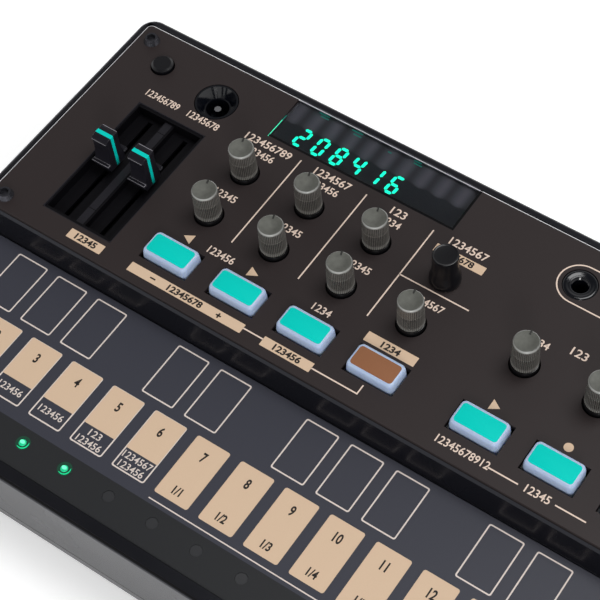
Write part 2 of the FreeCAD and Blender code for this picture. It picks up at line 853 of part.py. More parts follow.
def touch_board():
    """Circuit board behind the keyboard, thin enough to lie under both plates."""
    margin = "2 * (deck_ledge + board_gap)"
    blank = box(f"deck_width - {margin}", f"deck_back - deck_front - {margin}", "touch_board_thick",
                "0", "(deck_back + deck_front) / 2", "touch_board_level")
    notches = [box("boss_width + 4 * board_gap", "boss_width + 2 * board_gap", PAST, x, y, "tower_top")
               for x, y in FRONT_POSTS]
    chip = box("9", "9", "chip_thick", "-54", "-30", "touch_board_level - chip_thick")
    return node(fuse(cut(blank, *notches), chip), "touch_board")


def flat_cable():
    """Flexible ribbon that hangs in a shallow loop between the two boards."""
    width, thick, x = 14.0, 0.3, -74.0
    reach, depth = 2.0, 3.4
    start, end = -14.0, 1.0
    front_level, rear_level = size("touch_board_level"), size("board_level")
    sag = front_level - depth
    outer = [(start, front_level), (start, sag + reach), (start + reach, sag), (end - reach, sag),
             (end, sag + reach), (end, rear_level)]
    inner = [(end - thick, rear_level), (end - thick, sag + reach), (end - reach, sag + thick),
             (start + reach, sag + thick), (start + thick, sag + reach), (start + thick, front_level)]
    return node(made(prism_along_x(outer + inner, width, x), "Ribbon"), "flat_cable")


# Main board

def main_board():
    """Circuit board that carries the controls and sockets."""
    front = f"({ROOM_FRONT} + board_gap / 2)"
    back = "(top_depth / 2 - wall - board_gap)"
    blank = box("2 * post_x - boss_width - 2 * board_gap", f"{back} - {front}", "board_thick",
                "0", f"({back} + {front}) / 2", "board_level")
    holes = [prism(SHANK_SIDES, "shank_hole", PAST, x, y, "bay_top") for x, y, depth in LUGS]
    holes += [prism(ROUND_SIDES, "jack_bore + board_gap", PAST, x, "socket_row", "bay_top") for x in JACKS]
    chips = [box(width, depth, "chip_thick", x, y, "board_level - chip_thick")
             for width, depth, x, y in MAIN_CHIPS]
    return node(fuse(cut(blank, *holes), *chips), "main_board")


# Width, depth and place of the chips under the main board.
MAIN_CHIPS = [("12", "12", "-14", "44"), ("7", "5", "-52", "34"), ("7", "5", "-80", "34")]


def board_screws():
    """Four pan-head screws that hold the main board to the lugs."""
    screws = []
    for x, y, depth in LUGS:
        head = prism(ROUND_SIDES, "pan_radius", "pan_thick", x, y, "board_level - pan_thick")
        screws.append(fuse(head, shank("board_thick + lug_shank", x, y, "board_level")))
    return node(group(*screws), "board_screws")


def pot_bodies():
    """Eleven small rotary potentiometers, each with the well that its clear shaft turns in."""
    pots = []
    for x, y in CLEAR_KNOBS.values():
        case = box("pot_width", "pot_depth", "pot_height", x, y, BOARD_TOP)
        well = prism(ROUND_SIDES, f"(knob_radius + fit) * {CORNER_SHARE}", PAST, x, y, "knob_foot - fit")
        pots.append(cut(case, well))
    return node(group(*pots), "pot_bodies")


def copy_of(master, label, x, y, z, angle=0.0):
    """A further piece with a finished piece's shape, turned about its own middle and placed."""
    piece = made(master.Shape, label)
    piece.Placement.Rotation = FreeCAD.Rotation(Vector(0, 0, 1), angle)
    place(piece, x, y, z)
    return node(piece, label)


def clear_knob():
    """Clear shaft that is both the knob and the potentiometer's spindle, its notch pointing along +X."""
    body = new_body("Knob")
    profile = new_sketch(body, "KnobProfile", "XZ_Plane")
    length = "(knob_top - knob_foot)"
    sketch_profile(profile, [("0", "0"), ("knob_radius", "0"), ("knob_radius", f"{length} - knob_chamfer"),
                             ("knob_radius - knob_chamfer", length), ("0", length)])
    revolve(body, profile)
    notch = new_sketch(body, "Notch", "XY_Plane", lift=f"{length} - notch_width")
    sketch_rectangle(notch, "notch_length", "notch_width", "knob_radius - notch_length / 2 + 0.15")
    slot = body.newObject("PartDesign::Pocket", "PointerNotch")
    slot.Profile = notch
    slot.Reversed = True
    bind(slot, "Length", "notch_depth")
    doc.recompute()
    return body


def encoder():
    """Rotary encoder under the black program knob: body with bushing, and its shaft."""
    x, y = "prog_x", "rear_row"
    case = box("encoder_width", "encoder_depth", "pot_height", x, y, BOARD_TOP)
    neck = prism(ROUND_SIDES, "encoder_neck", "encoder_rise", x, y, f"{BOARD_TOP} + pot_height")
    bore = cylinder("spindle_radius + fit", PAST, x, y, f"{BOARD_TOP} + board_gap")
    node(cut(fuse(case, neck), bore), "encoder_body")
    shaft_foot = f"({BOARD_TOP} + board_gap + 2 * fit)"
    shaft = cylinder("spindle_radius", f"shaft_top - {shaft_foot}", x, y, shaft_foot)
    flat = box("2 * spindle_radius", "spindle_radius", PAST, x, f"{y} + 1.1 * spindle_radius", PLATE_FOOT)
    node(cut(shaft, flat), "encoder_shaft")


def program_knob():
    """Smooth black knob with a flared skirt and a bore for the flatted shaft."""
    body = new_body("ProgramKnob")
    profile = new_sketch(body, "ProgramProfile", "XZ_Plane")
    length = "(knob_top - panel_level - knob_lift)"
    sketch_profile(profile, [("0", "0"), ("knob_radius + skirt_reach", "0"),
                             ("knob_radius + skirt_reach", "skirt_height"), ("knob_radius", "flare_height"),
                             ("knob_radius", f"{length} - knob_chamfer"),
                             ("knob_radius - knob_chamfer", length), ("0", length)])
    revolve(body, profile)
    bore = new_sketch(body, "ProgramBore", "XY_Plane")
    sketch_circle(bore, "spindle_radius")
    hole = body.newObject("PartDesign::Pocket", "ShaftBore")
    hole.Profile = bore
    hole.Reversed = True
    bind(hole, "Length", "shaft_top - panel_level - knob_lift")
    place(body, "prog_x", "rear_row", "panel_level + knob_lift")
    return node(body, "program_knob")


BUTTON_DRAFT = -9.0
BUTTON_CORNER = 0.9
BUTTON_CREST = 0.4


def push_button():
    """Milky keycap with drafted sides, broken corners, a retaining flange and a peg below."""
    body = new_body("Button")
    outline = new_sketch(body, "CapOutline", lift="cap_foot - button_foot")
    sketch_rectangle(outline, "button_width", "button_depth")
    pad(body, outline, "button_top - cap_foot", taper=BUTTON_DRAFT)
    soften(body, "Chamfer", lambda edge: edge.BoundBox.ZLength > 1.0, BUTTON_CORNER)
    crest = size("button_top") - size("button_foot") - NEAR
    soften(body, "Chamfer", lambda edge: edge.BoundBox.ZMin > crest, BUTTON_CREST)
    stem = new_sketch(body, "CapStem", lift="flange_thick - 0.1")
    sketch_rectangle(stem, "button_width - 2 * stem_inset", "button_depth - 2 * stem_inset")
    pad(body, stem, "cap_foot - button_foot - flange_thick + 0.2")
    flange = new_sketch(body, "Flange")
    sketch_rectangle(flange, "button_width + 2 * flange_reach", "button_depth + 2 * flange_reach")
    pad(body, flange, "flange_thick")
    peg = new_sketch(body, "Peg", lift="-peg_drop")
    sketch_rectangle(peg, "peg_width", "peg_width")
    pad(body, peg, "peg_drop + 0.2")
    doc.recompute()
    return body


def dome_mat():
    """Silicone mat with a contact dome under each button."""
    left = "(mod_x - 7.5)"
    right = "(volume_x + 4.2)"
    sheet_part = box(f"{right} - {left}", "mat_depth", "mat_thick",
                     f"({right} + {left}) / 2", "button_row", BOARD_TOP)
    domes = [prism(SMALL_SIDES, "dome_radius", "dome_height", x, "button_row", BOARD_TOP)
             for x in BUTTONS.values()]
    return node(fuse(sheet_part, *domes), "dome_mat")


# Sliders

CROWN_RISE = 0.3
CAP_BITE = 0.5
TRACKS = {"left": "(track_x - track_gap / 2)", "right": "(track_x + track_gap / 2)"}


def slider_well():
    """Bezel behind the plate: rim, two tracks with slots and a low divider."""
    rim = box("well_width + 2 * well_flange", "well_length + 2 * well_flange",
              f"{PLATE_FOOT} - well_floor + well_base", "well_x", "well_y", "well_floor - well_base")
    collar = box("well_width - 2 * fit", "well_length - 2 * fit", "plate_thick - 0.3",
                 "well_x", "well_y", PLATE_FOOT)
    trench_width = "((well_width - divider) / 2 - well_rim)"
    trench_length = "(well_length - 2 * well_rim)"
    trenches = []
    slots = []
    for x in TRACKS.values():
        trenches.append(box(trench_width, trench_length, PAST, x, "well_y", "well_floor"))
        slots.append(box("lever_width + 0.7", "track_length", PAST, x, "well_y", BOARD_TOP))
    divider_cut = box("divider + 1", trench_length, PAST, "track_x", "well_y", "panel_level - divider_drop")
    return node(cut(fuse(rim, collar), *trenches, *slots, divider_cut), "slider_well")


def slide_pots():
    """Two slide potentiometers with folded metal frames, open along the top."""
    frames = []
    for x in TRACKS.values():
        frame = box("frame_width", "track_length + 2 * frame_end", "pot_height", x, "well_y", BOARD_TOP)
        room = box("frame_width - 2 * frame_wall", "track_length + 2.5", "pot_height - 1.75 * frame_wall",
                   x, "well_y", f"{BOARD_TOP} + frame_wall")
        slit = box("lever_width + 1", "track_length", PAST, x, "well_y", f"{BOARD_TOP} + 2 * frame_wall")
        frames.append(cut(frame, room, slit))
    return node(group(*frames), "slide_pot_frames")


def slider_stem(side):
    """Wiper carriage and the flat lever that rises out of a slide potentiometer."""
    x = TRACKS[side]
    carriage = box("carriage_width", "lever_depth", "carriage_height", x, "cap_y", f"{BOARD_TOP} + 1.1")
    lever_foot = f"({BOARD_TOP} + 2 * frame_wall)"
    lever = box("lever_width", "lever_depth", f"lever_top - {lever_foot}", x, "cap_y", lever_foot)
    return node(fuse(carriage, lever), f"slider_stem_{side}")


def cap_blade(x):
    """Upright part of a fader cap: an outline with hollow front and back, drawn out along X."""
    y, ledge, crown = size("cap_y"), size("cap_ledge"), size("cap_top")
    waist, head = size("cap_waist") / 2, size("cap_head") / 2
    hollow = min(waist, head) - size("cap_hollow")
    width = size("cap_width")
    shoulder = crown - CROWN_RISE
    middle = 0.5 * (ledge + crown)

    def point(along, up):
        return Vector(x - width / 2, y + along, up)

    front_foot, front_head = point(-waist, ledge - CAP_BITE), point(-head, shoulder)
    rear_head, rear_foot = point(head, shoulder), point(waist, ledge - CAP_BITE)
    edges = [Part.Arc(front_foot, point(-hollow, middle), front_head),
             Part.Arc(front_head, point(0, crown), rear_head),
             Part.Arc(rear_head, point(hollow, middle), rear_foot),
             Part.LineSegment(rear_foot, front_foot)]
    face = Part.Face(Part.Wire([edge.toShape() for edge in edges]))
    return face.extrude(Vector(width, 0, 0))


def slider_cap(side):
    """Fader cap: broad foot, upright flanks, hollow front and back, crowned top, hole for the lever."""
    x = TRACKS[side]
    foot = box("cap_foot_width", "cap_foot_length", "cap_ledge - cap_floor", x, "cap_y", "cap_floor")
    lever = box("lever_width", "lever_depth", "lever_top - cap_floor + 1", x, "cap_y", "cap_floor - 1")
    blade = made(cap_blade(sheet_value(x)), "Blade")
    return node(cut(fuse(foot, blade), lever), f"slider_cap_{side}")


# Display

def display():
    """Smoked window in the plate's notch, and the eight-digit module below it."""
    width = "(window_right - window_left - 2 * window_gap)"
    depth = "(plate_back - window_front - 1.2 * window_gap)"
    x = "(window_right + window_left) / 2"
    y = "(window_front + plate_back) / 2 + 0.1"
    window = box(width, depth, "plate_thick - 0.1", x, y, PLATE_FOOT)
    soft = doc.addObject("Part::Chamfer", "WindowEdge")
    soft.Base = window
    soft.Edges = [(number, WINDOW_CHAMFER, WINDOW_CHAMFER) for number in WINDOW_TOP_EDGES]
    node(soft, "display_window")
    height = f"module_top - {BOARD_TOP}"
    module = box("module_width", "module_depth", height, "module_x", "module_y", BOARD_TOP)
    node(module, "display_module")


WINDOW_CHAMFER = 0.25
WINDOW_TOP_EDGES = (2, 6, 10, 12)


# Sockets

def jack_sockets():
    """Four upright 3.5 mm sockets, each with a round bushing and a funnelled mouth in the plate's hole."""
    jacks = []
    for x in JACKS:
        case = box("jack_width", "jack_depth", "jack_height", x, "socket_row", BOARD_TOP)
        bushing_top = "(panel_level - bushing_drop)"
        bushing = cylinder("bushing_radius", f"{bushing_top} - {BOARD_TOP}", x, "socket_row", BOARD_TOP)
        mouth = cone("jack_bore", "jack_bore + funnel", "funnel", x, "socket_row", f"{bushing_top} - funnel")
        bore = cylinder("jack_bore", PAST, x, "socket_row", "board_level")
        jacks.append(cut(fuse(case, bushing), bore, mouth))
    return node(group(*jacks), "jack_sockets")


def dc_jack():
    """Upright power socket with a dished mouth, and its centre pin."""
    floor = f"({BOARD_TOP} + dc_floor)"
    case = box("dc_case", "dc_case", "dc_height", "dc_x", "dc_y", BOARD_TOP)
    mouth = cylinder("dc_radius - fit", f"panel_level - {BOARD_TOP}", "dc_x", "dc_y", BOARD_TOP)
    dish = cone("dc_bore + 0.35", "dc_radius - 0.5", "dc_dish", "dc_x", "dc_y", "panel_level - dc_dish")
    bore = cylinder("dc_bore", PAST, "dc_x", "dc_y", floor)
    node(cut(fuse(case, mouth), dish, bore), "dc_jack")
    node(prism(SMALL_SIDES, "dc_pin", "dc_reach", "dc_x", "dc_y", floor), "dc_pin")


PIN_ANGLES = (0, 45, 90, 135, 180)
PIN_CIRCLE = 4.6


def midi_socket():
    """Round five-pin socket with its shield ring, contact holes and key."""
    floor = "(panel_level - midi_depth)"
    core = "midi_radius - midi_ring - midi_groove"
    base = cylinder("midi_radius", f"panel_level - {BOARD_TOP} - 0.2", "midi_x", "midi_y", BOARD_TOP)
    groove = cut(cylinder("midi_radius - midi_ring", PAST, "midi_x", "midi_y", floor),
                 cylinder(core, PAST, "midi_x", "midi_y", floor))
    lowered = cylinder(f"{core} + 0.1", "2", "midi_x", "midi_y", "panel_level - 0.7")
    key = box("2.2", "1.6", PAST, "midi_x", "midi_y - 5.9", floor)
    pins = []
    for angle in PIN_ANGLES:
        turn = math.radians(angle)
        across = round(PIN_CIRCLE * math.cos(turn), 3)
        along = round(PIN_CIRCLE * math.sin(turn), 3)
        pins.append(prism(SMALL_SIDES, "0.8", PAST, f"midi_x + {across}", f"midi_y + {along}", floor))
    return node(cut(base, groove, lowered, key, *pins), "midi_socket")


def power_switch():
    """Small switch on the board and the round button above it."""
    node(box("6", "6", "3.4", "power_x", "power_y", BOARD_TOP), "power_switch")
    rise = "panel_level + power_rise"
    cap = cylinder("power_radius", f"{rise} - power_foot", "power_x", "power_y", "power_foot")
    flange = cylinder("power_radius + 0.8", "1.0", "power_x", "power_y", "power_foot")
    crown = cone("power_radius", "power_radius - 0.5", "0.4", "power_x", "power_y", rise)
    node(fuse(cap, flange, crown), "power_button")


# Batteries and speaker

CELL_ROWS = (-1, 0, 1)
CELL_COLUMNS = (-1, 1)


def cell_places():
    """Middle of each cell, with the way its positive end points."""
    places = []
    for row in CELL_ROWS:
        for column in CELL_COLUMNS:
            x = f"bay_x + {column} * (cell_length / 2 + cell_gap)"
            places.append((x, f"bay_y + {row} * cell_pitch", 1 if row == 0 else -1))
    return places


def batteries():
    """Six size AA cells in three rows, with raised positive ends."""
    cells = []
    bare = "1.2"
    for x, y, way in cell_places():
        body_x = f"{x} - {way} * {bare} / 2"
        can = prism(ROUND_SIDES, "cell_radius", f"cell_length - {bare}", body_x, y, "cell_level")
        end_x = f"{x} + {way} * (cell_length - nub_length) / 2"
        nub = prism(SMALL_SIDES, "nub_radius", "nub_length", end_x, y, "cell_level")
        cells.append(fuse(along_x(can, f"cell_length - {bare}", body_x, y, "cell_level"),
                          along_x(nub, "nub_length", end_x, y, "cell_level")))
    return node(group(*cells), "batteries")


def battery_contacts():
    """Spring plates at both ends of each row, and the links between its two cells."""
    plates = []
    for row in CELL_ROWS:
        y = f"bay_y + {row} * cell_pitch"
        for side in (-1, 1):
            x = f"bay_x + {side} * (bay_width - contact_thick) / 2"
            foot = "cell_level - contact_width / 2"
            plates.append(box("contact_thick", "contact_width", "contact_width", x, y, foot))
        foot = "cell_level - link_width / 2"
        plates.append(box("contact_thick", "link_width", "link_width", "bay_x", y, foot))
    return node(group(*plates), "battery_contacts")


def speaker():
    """Small loudspeaker facing the slots: flange with four arms, magnet and cone."""
    x, y = "speaker_x", "speaker_y"
    inner = "speaker_radius - 2.4"
    flange = cut(prism(FLANGE_SIDES, "speaker_radius", "flange_height", x, y, "floor_top"),
                 prism(FLANGE_SIDES, inner, PAST, x, y, "underside"))
    arms = []
    arm_foot = "floor_top + flange_height / 2"
    for side in (-1, 1):
        reach = f"{side} * (speaker_radius - 1.5)"
        arms.append(box("arm_thick", "arm_width", "magnet_foot", f"{x} + {reach}", y, arm_foot))
        arms.append(box("arm_width", "arm_thick", "magnet_foot", x, f"{y} + {reach}", arm_foot))
    bar_foot = f"{arm_foot} + magnet_foot - bar_thick"
    arms.append(box("2 * speaker_radius - 3", "arm_width", "bar_thick", x, y, bar_foot))
    arms.append(box("arm_width", "2 * speaker_radius - 3", "bar_thick", x, y, bar_foot))
    node(fuse(flange, *arms), "speaker_basket")
    magnet = prism(ROUND_SIDES, "magnet_radius", "magnet_height", x, y, f"{arm_foot} + magnet_foot")
    node(magnet, "speaker_magnet")
    node(cone(f"{inner} - board_gap", "voice_radius", "magnet_foot - 1.8", x, y, arm_foot), "speaker_cone")


upper_case()
lower_case()
battery_cover()
rubber_feet()
case_screws()
panel_plate()
panel_screws()
touch_plate()
lamp_strip()
lamp_lenses()
lamp_diodes()
touch_board()
flat_cable()
main_board()
board_screws()
pot_bodies()
first_knob = clear_knob()
for knob_name, (knob_x, knob_y) in CLEAR_KNOBS.items():
    copy_of(first_knob, knob_name, knob_x, knob_y, "knob_foot", POINTER[knob_name])
encoder()
program_knob()
first_button = push_button()
for button_name, button_x in BUTTONS.items():
    copy_of(first_button, button_name, button_x, "button_row", "button_foot")
dome_mat()
slider_well()
slide_pots()
for track in TRACKS:
    slider_stem(track)
    slider_cap(track)
display()
jack_sockets()
dc_jack()
midi_socket()
power_switch()
batteries()
battery_contacts()
speaker()

doc.recompute()
for thing in doc.Objects:
    if "Invalid" in thing.State or "Error" in thing.State:
        raise RuntimeError(f"{thing.Label} ({thing.Name}) is {thing.State}")
os.makedirs("parts", exist_ok=True)
for thing in nodes:
    shape = thing.Shape
    if shape.isNull() or not shape.isValid():
        raise RuntimeError(f"{thing.Label} has no valid shape")
    shape.exportStep(os.path.join("parts", thing.Label + ".step"))
print(len(nodes), "sub-parts written")
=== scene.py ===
import json
import math

import bmesh
import bpy
import numpy as np
from mathutils import Matrix, Vector


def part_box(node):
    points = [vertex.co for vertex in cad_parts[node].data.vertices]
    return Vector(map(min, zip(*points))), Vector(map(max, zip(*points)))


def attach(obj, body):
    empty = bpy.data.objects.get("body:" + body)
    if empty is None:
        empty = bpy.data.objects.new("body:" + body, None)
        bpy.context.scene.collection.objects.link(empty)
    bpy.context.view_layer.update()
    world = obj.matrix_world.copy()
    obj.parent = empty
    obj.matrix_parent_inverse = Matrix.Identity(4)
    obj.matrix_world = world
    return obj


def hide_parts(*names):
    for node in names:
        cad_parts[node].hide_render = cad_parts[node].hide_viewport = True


# Looks of a desktop FM synthesizer. Lengths are in millimetres until a mesh is made.
MM = 0.001
HOUSING = "housing"

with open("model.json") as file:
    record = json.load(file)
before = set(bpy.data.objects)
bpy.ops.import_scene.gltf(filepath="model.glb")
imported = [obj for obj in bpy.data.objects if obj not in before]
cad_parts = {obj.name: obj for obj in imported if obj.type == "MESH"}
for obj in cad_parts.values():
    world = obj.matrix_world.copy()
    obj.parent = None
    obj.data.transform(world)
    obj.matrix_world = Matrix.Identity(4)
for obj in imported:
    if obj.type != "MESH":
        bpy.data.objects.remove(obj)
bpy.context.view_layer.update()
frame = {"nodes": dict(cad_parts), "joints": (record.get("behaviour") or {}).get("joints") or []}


def span(node):
    """Lowest and highest corner of a CAD node, in millimetres."""
    low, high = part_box(node)
    return np.array(low) / MM, np.array(high) / MM


def middle(node):
    """Centre of a CAD node's box, in millimetres."""
    low, high = span(node)
    return (low + high) / 2


# Places that the frame gives
PLATE_LOW, PLATE_HIGH = span("panel_plate")
DECK_LOW, DECK_HIGH = span("touch_plate")
STRIP_LOW, STRIP_HIGH = span("lamp_strip")
WINDOW_LOW, WINDOW_HIGH = span("display_window")
WELL = middle("slider_well")[:2]
LAMP_LINE = middle("lamp_lenses")[1]
PANEL_TOP = PLATE_HIGH[2]
KEY_TOP = DECK_HIGH[2]
CLEAR_KNOBS = sorted(name for name in frame["nodes"] if name.startswith("knob_"))
BUTTONS = sorted(name for name in frame["nodes"] if name.startswith("button_"))


# Finishes

def srgb(red, green, blue):
    """Linear colour from screen values of 0 to 255."""
    screen = np.array([red, green, blue]) / 255
    linear = np.where(screen <= 0.04045, screen / 12.92, ((screen + 0.055) / 1.055) ** 2.4)
    return (*linear.tolist(), 1.0)


TEAL = srgb(0, 207, 194)
DULL = {"Specular_IOR_Level": 0.22}
MATT = {"relief": 0.003, "Specular_IOR_Level": 0.08}


def feed(tree, socket, value):
    """Gives an input its value, or a link when the value is the output of another node."""
    if isinstance(value, bpy.types.NodeSocket):
        tree.links.new(value, socket)
    else:
        socket.default_value = value


def add_node(tree, kind, **values):
    """A node with its properties set; the other names are inputs, with _ for a space."""
    made = tree.nodes.new(kind)
    for key, value in values.items():
        if hasattr(made, key):
            setattr(made, key, value)
        else:
            feed(tree, made.inputs[key.replace("_", " ")], value)
    return made


def maths(tree, operation, *values):
    """The result of a sum on numbers or outputs."""
    made = add_node(tree, "ShaderNodeMath", operation=operation)
    for socket, value in zip(made.inputs, values):
        feed(tree, socket, value)
    return made.outputs[0]


def mixed(tree, share, first, second, **settings):
    """The colour between two, by a share. In a mix node input 0 is the share, 6 and 7 are the colours."""
    mix = add_node(tree, "ShaderNodeMix", data_type="RGBA", **settings)
    for place, value in ((0, share), (6, first), (7, second)):
        feed(tree, mix.inputs[place], value)
    return mix.outputs[2]


def principled(finish):
    """The finish's shader."""
    return finish.node_tree.nodes["Principled BSDF"]


def new_finish(name, colour, roughness, metallic=0.0, **settings):
    """A material with its Principled shader; further settings go straight to the shader's inputs."""
    finish = bpy.data.materials.new(name)
    finish.use_nodes = True
    settings.update(Base_Color=colour, Roughness=roughness, Metallic=metallic)
    for socket, value in settings.items():
        principled(finish).inputs[socket.replace("_", " ")].default_value = value
    return finish


def mould_grain_group():
    """Fine moulded or sprayed grain: a mottled tint, a roughness and a height. The tint is the colour
    times 1 + mottle (grain - 0.5); the roughness is its own value + smudge (cloud - 0.5)."""
    group = bpy.data.node_groups.new("MouldGrain", "ShaderNodeTree")
    for label, kind, value in (("Colour", "Color", (0.5, 0.5, 0.5, 1)), ("Roughness", "Float", 0.5),
                               ("Scale", "Float", 3000.0), ("Mottle", "Float", 0.1), ("Smudge", "Float", 0.1)):
        group.interface.new_socket(label, in_out="INPUT",
                                   socket_type="NodeSocket" + kind).default_value = value
    for label, kind in (("Colour", "Color"), ("Roughness", "Float"), ("Height", "Float")):
        group.interface.new_socket(label, in_out="OUTPUT", socket_type="NodeSocket" + kind)
    given = group.nodes.new("NodeGroupInput").outputs
    place = group.nodes.new("ShaderNodeTexCoord").outputs["Object"]
    grain = add_node(group, "ShaderNodeTexNoise", Detail=4.0, Vector=place, Scale=given["Scale"]).outputs["Fac"]
    cloud = add_node(group, "ShaderNodeTexNoise", Scale=60.0, Detail=3.0, Vector=place).outputs["Fac"]
    share = maths(group, "MULTIPLY_ADD", maths(group, "SUBTRACT", grain, 0.5), given["Mottle"], 1.0)
    tint = add_node(group, "ShaderNodeVectorMath", operation="SCALE", Vector=given["Colour"], Scale=share)
    gloss = maths(group, "MULTIPLY_ADD", maths(group, "SUBTRACT", cloud, 0.5), given["Smudge"],
                  given["Roughness"])
    add_node(group, "NodeGroupOutput", Colour=tint.outputs[0], Roughness=gloss, Height=grain)
    return group


MOULD_GRAIN = mould_grain_group()


def grained(name, colour, roughness, scale=2500.0, mottle=0.12, smudge=0.1, relief=0.004, metallic=0.0,
            **settings):
    """A finish with fine grain in its tint, gloss and surface. Relief is in millimetres."""
    finish = new_finish(name, colour, roughness, metallic, **settings)
    tree, sockets = finish.node_tree, principled(finish).inputs
    grain = add_node(tree, "ShaderNodeGroup", node_tree=MOULD_GRAIN, Colour=colour, Roughness=roughness,
                     Scale=scale, Mottle=mottle, Smudge=smudge).outputs
    feed(tree, sockets["Base Color"], grain["Colour"])
    feed(tree, sockets["Roughness"], grain["Roughness"])
    if relief:
        bump = add_node(tree, "ShaderNodeBump", Strength=1.0, Distance=relief * MM, Height=grain["Height"])
        feed(tree, sockets["Normal"], bump.outputs["Normal"])
    return finish


def glowing(name, colour, strength):
    """A lit surface with a faint gloss of its own."""
    return new_finish(name, colour, 0.35, Emission_Color=colour, Emission_Strength=strength)


def shade_of(tree):
    """The outputs that give the piece's shade attribute."""
    return add_node(tree, "ShaderNodeAttribute", attribute_name="shade").outputs


def shade_parts(tree):
    """The red, green and blue of the piece's shade attribute."""
    return add_node(tree, "ShaderNodeSeparateColor", Color=shade_of(tree)["Color"]).outputs


def tint_by(finish, colour):
    """Lets an output take the place of the one plain colour that the grain starts from."""
    grain = next(node for node in finish.node_tree.nodes if node.bl_idname == "ShaderNodeGroup")
    feed(finish.node_tree, grain.inputs["Colour"], colour)
    return finish


def fading(name, colour, foot):
    """Matt paint that darkens to a second colour by the piece's shade attribute, as painted shade."""
    finish = grained(name, colour, 0.55, scale=3000.0, mottle=0.05, **MATT)
    tree = finish.node_tree
    return tint_by(finish, mixed(tree, shade_of(tree)["Fac"], foot, colour))


# depth in the shade and colour there, down a clear knob: frosted top, a painted highlight on the rim, and a
# smoky side with two rows of painted highlights and a dark foot
SMOKE_AND_HIGHLIGHT_BANDS = ((0.0, (118, 119, 113)), (0.0036, (118, 119, 113)), (0.006, (190, 191, 188)),
               (0.026, (184, 184, 180)), (0.046, (142, 140, 136)), (0.075, (126, 123, 119)),
               (0.36, (118, 115, 111)), (0.385, (140, 137, 132)), (0.41, (140, 137, 132)),
               (0.44, (114, 111, 107)), (0.82, (118, 115, 111)), (0.88, (164, 162, 157)),
               (0.95, (160, 158, 152)), (1.0, (56, 55, 53)))


def clear_smoke():
    """Smoky clear plastic with painted highlights in its depth bands, and painted shade in its grooves and on
    two wings.
    """
    finish = grained("smoke_plastic", srgb(120, 120, 113), 0.22, scale=900.0, mottle=0.5, smudge=0.15,
                     relief=0, Transmission_Weight=0.25, IOR=1.49)
    tree = finish.node_tree
    depth, groove, wing = shade_parts(tree)
    bands = add_node(tree, "ShaderNodeValToRGB", Fac=depth)
    stops = bands.color_ramp.elements
    while len(stops) < len(SMOKE_AND_HIGHLIGHT_BANDS):
        stops.new(0.5)
    for stop, (place, colour) in zip(stops, SMOKE_AND_HIGHLIGHT_BANDS):
        stop.position = place
        stop.color = srgb(*colour)
    # painted shade on the rim's dark wings and one side of the top, then in the grooves
    winged = mixed(tree, wing, bands.outputs["Color"], (0.42, 0.42, 0.41, 1), blend_type="MULTIPLY")
    return tint_by(finish, mixed(tree, groove, winged, (0.34, 0.33, 0.32, 1), blend_type="MULTIPLY"))


def flute_plastic():
    """Dark display frame with painted light and shade on its flutes, paler to their crests, by the shade
    attribute.
    """
    finish = grained("flute_plastic", srgb(60, 60, 68), 0.4, scale=3000.0, mottle=0.08, **DULL)
    tree = finish.node_tree
    rise, depth, _ = shade_parts(tree)
    crest = mixed(tree, rise, srgb(58, 58, 64), srgb(96, 95, 103))
    return tint_by(finish, mixed(tree, depth, srgb(36, 39, 44), crest))


case_plastic = grained("case_plastic", srgb(9, 9, 13), 0.27, mottle=0.15, relief=0.002,
                       IOR=1.53, Specular_Tint=(0.86, 0.88, 1.0, 1.0))
panel_paint = grained("panel_paint", srgb(45, 38, 38), 0.45, scale=5000.0, mottle=0.10, smudge=0.06, **DULL)
deck_print = grained("deck_print", srgb(60, 61, 70), 0.40, scale=5000.0, mottle=0.08, smudge=0.06, **DULL)
strip_print = grained("strip_print", srgb(40, 41, 43), 0.42, scale=5000.0, mottle=0.08, smudge=0.06, **DULL)
ink_tan, ink_line, ink_label, ink_dark = (
    grained(name, srgb(*colour), 0.5, scale=4000.0, mottle=0.06, relief=0.002, **DULL)
    for name, colour in (("ink_tan", (216, 188, 160)), ("ink_line", (222, 210, 202)),
                         ("ink_label", (230, 208, 192)), ("ink_dark", (38, 33, 31))))
# the stripe's teal darkens to painted shade at its feet, deep in the well
stripe_paint = fading("stripe_paint", TEAL, srgb(6, 58, 60))
teal_paint = grained("teal_paint", TEAL, 0.55, scale=3000.0, mottle=0.05, **MATT)
brown_paint = grained("brown_paint", srgb(144, 98, 70), 0.55, scale=3000.0, mottle=0.08, **MATT)
milk_plastic = grained("milk_plastic", srgb(176, 194, 224), 0.30, scale=900.0, mottle=0.03, smudge=0.08,
                       Subsurface_Weight=0.25, Subsurface_Radius=(0.002, 0.002, 0.003), Subsurface_Scale=0.5)
smoke_plastic = clear_smoke()
window_acrylic = new_finish("window_acrylic", srgb(225, 228, 233), 0.03, Transmission_Weight=1.0, IOR=1.35)
module_face = grained("module_face", srgb(24, 25, 30), 0.4, scale=3000.0, mottle=0.08, **DULL)
module_light = flute_plastic()
knob_black = grained("knob_black", srgb(12, 12, 16), 0.28, scale=2000.0, mottle=0.05, smudge=0.02,
                     relief=0.0008, Specular_IOR_Level=0.4)
gloss_black = grained("gloss_black", srgb(10, 10, 12), 0.12, scale=2000.0, mottle=0.1, smudge=0.08)
notch_grey = grained("notch_grey", srgb(34, 34, 31), 0.4, scale=2000.0, mottle=0.1)
well_plastic = grained("well_plastic", srgb(10, 9, 13), 0.5, mottle=0.15, Specular_IOR_Level=0.1)
divider_plastic = grained("divider_plastic", srgb(33, 32, 37), 0.35, mottle=0.15, **DULL)
cap_plastic = grained("cap_plastic", srgb(27, 26, 32), 0.3, **DULL)
# painted highlights on the fader caps' edges
cap_shine = grained("cap_shine", srgb(132, 130, 136), 0.25, mottle=0.1)
socket_plastic = grained("socket_plastic", srgb(9, 11, 17), 0.12, scale=2000.0, mottle=0.1)
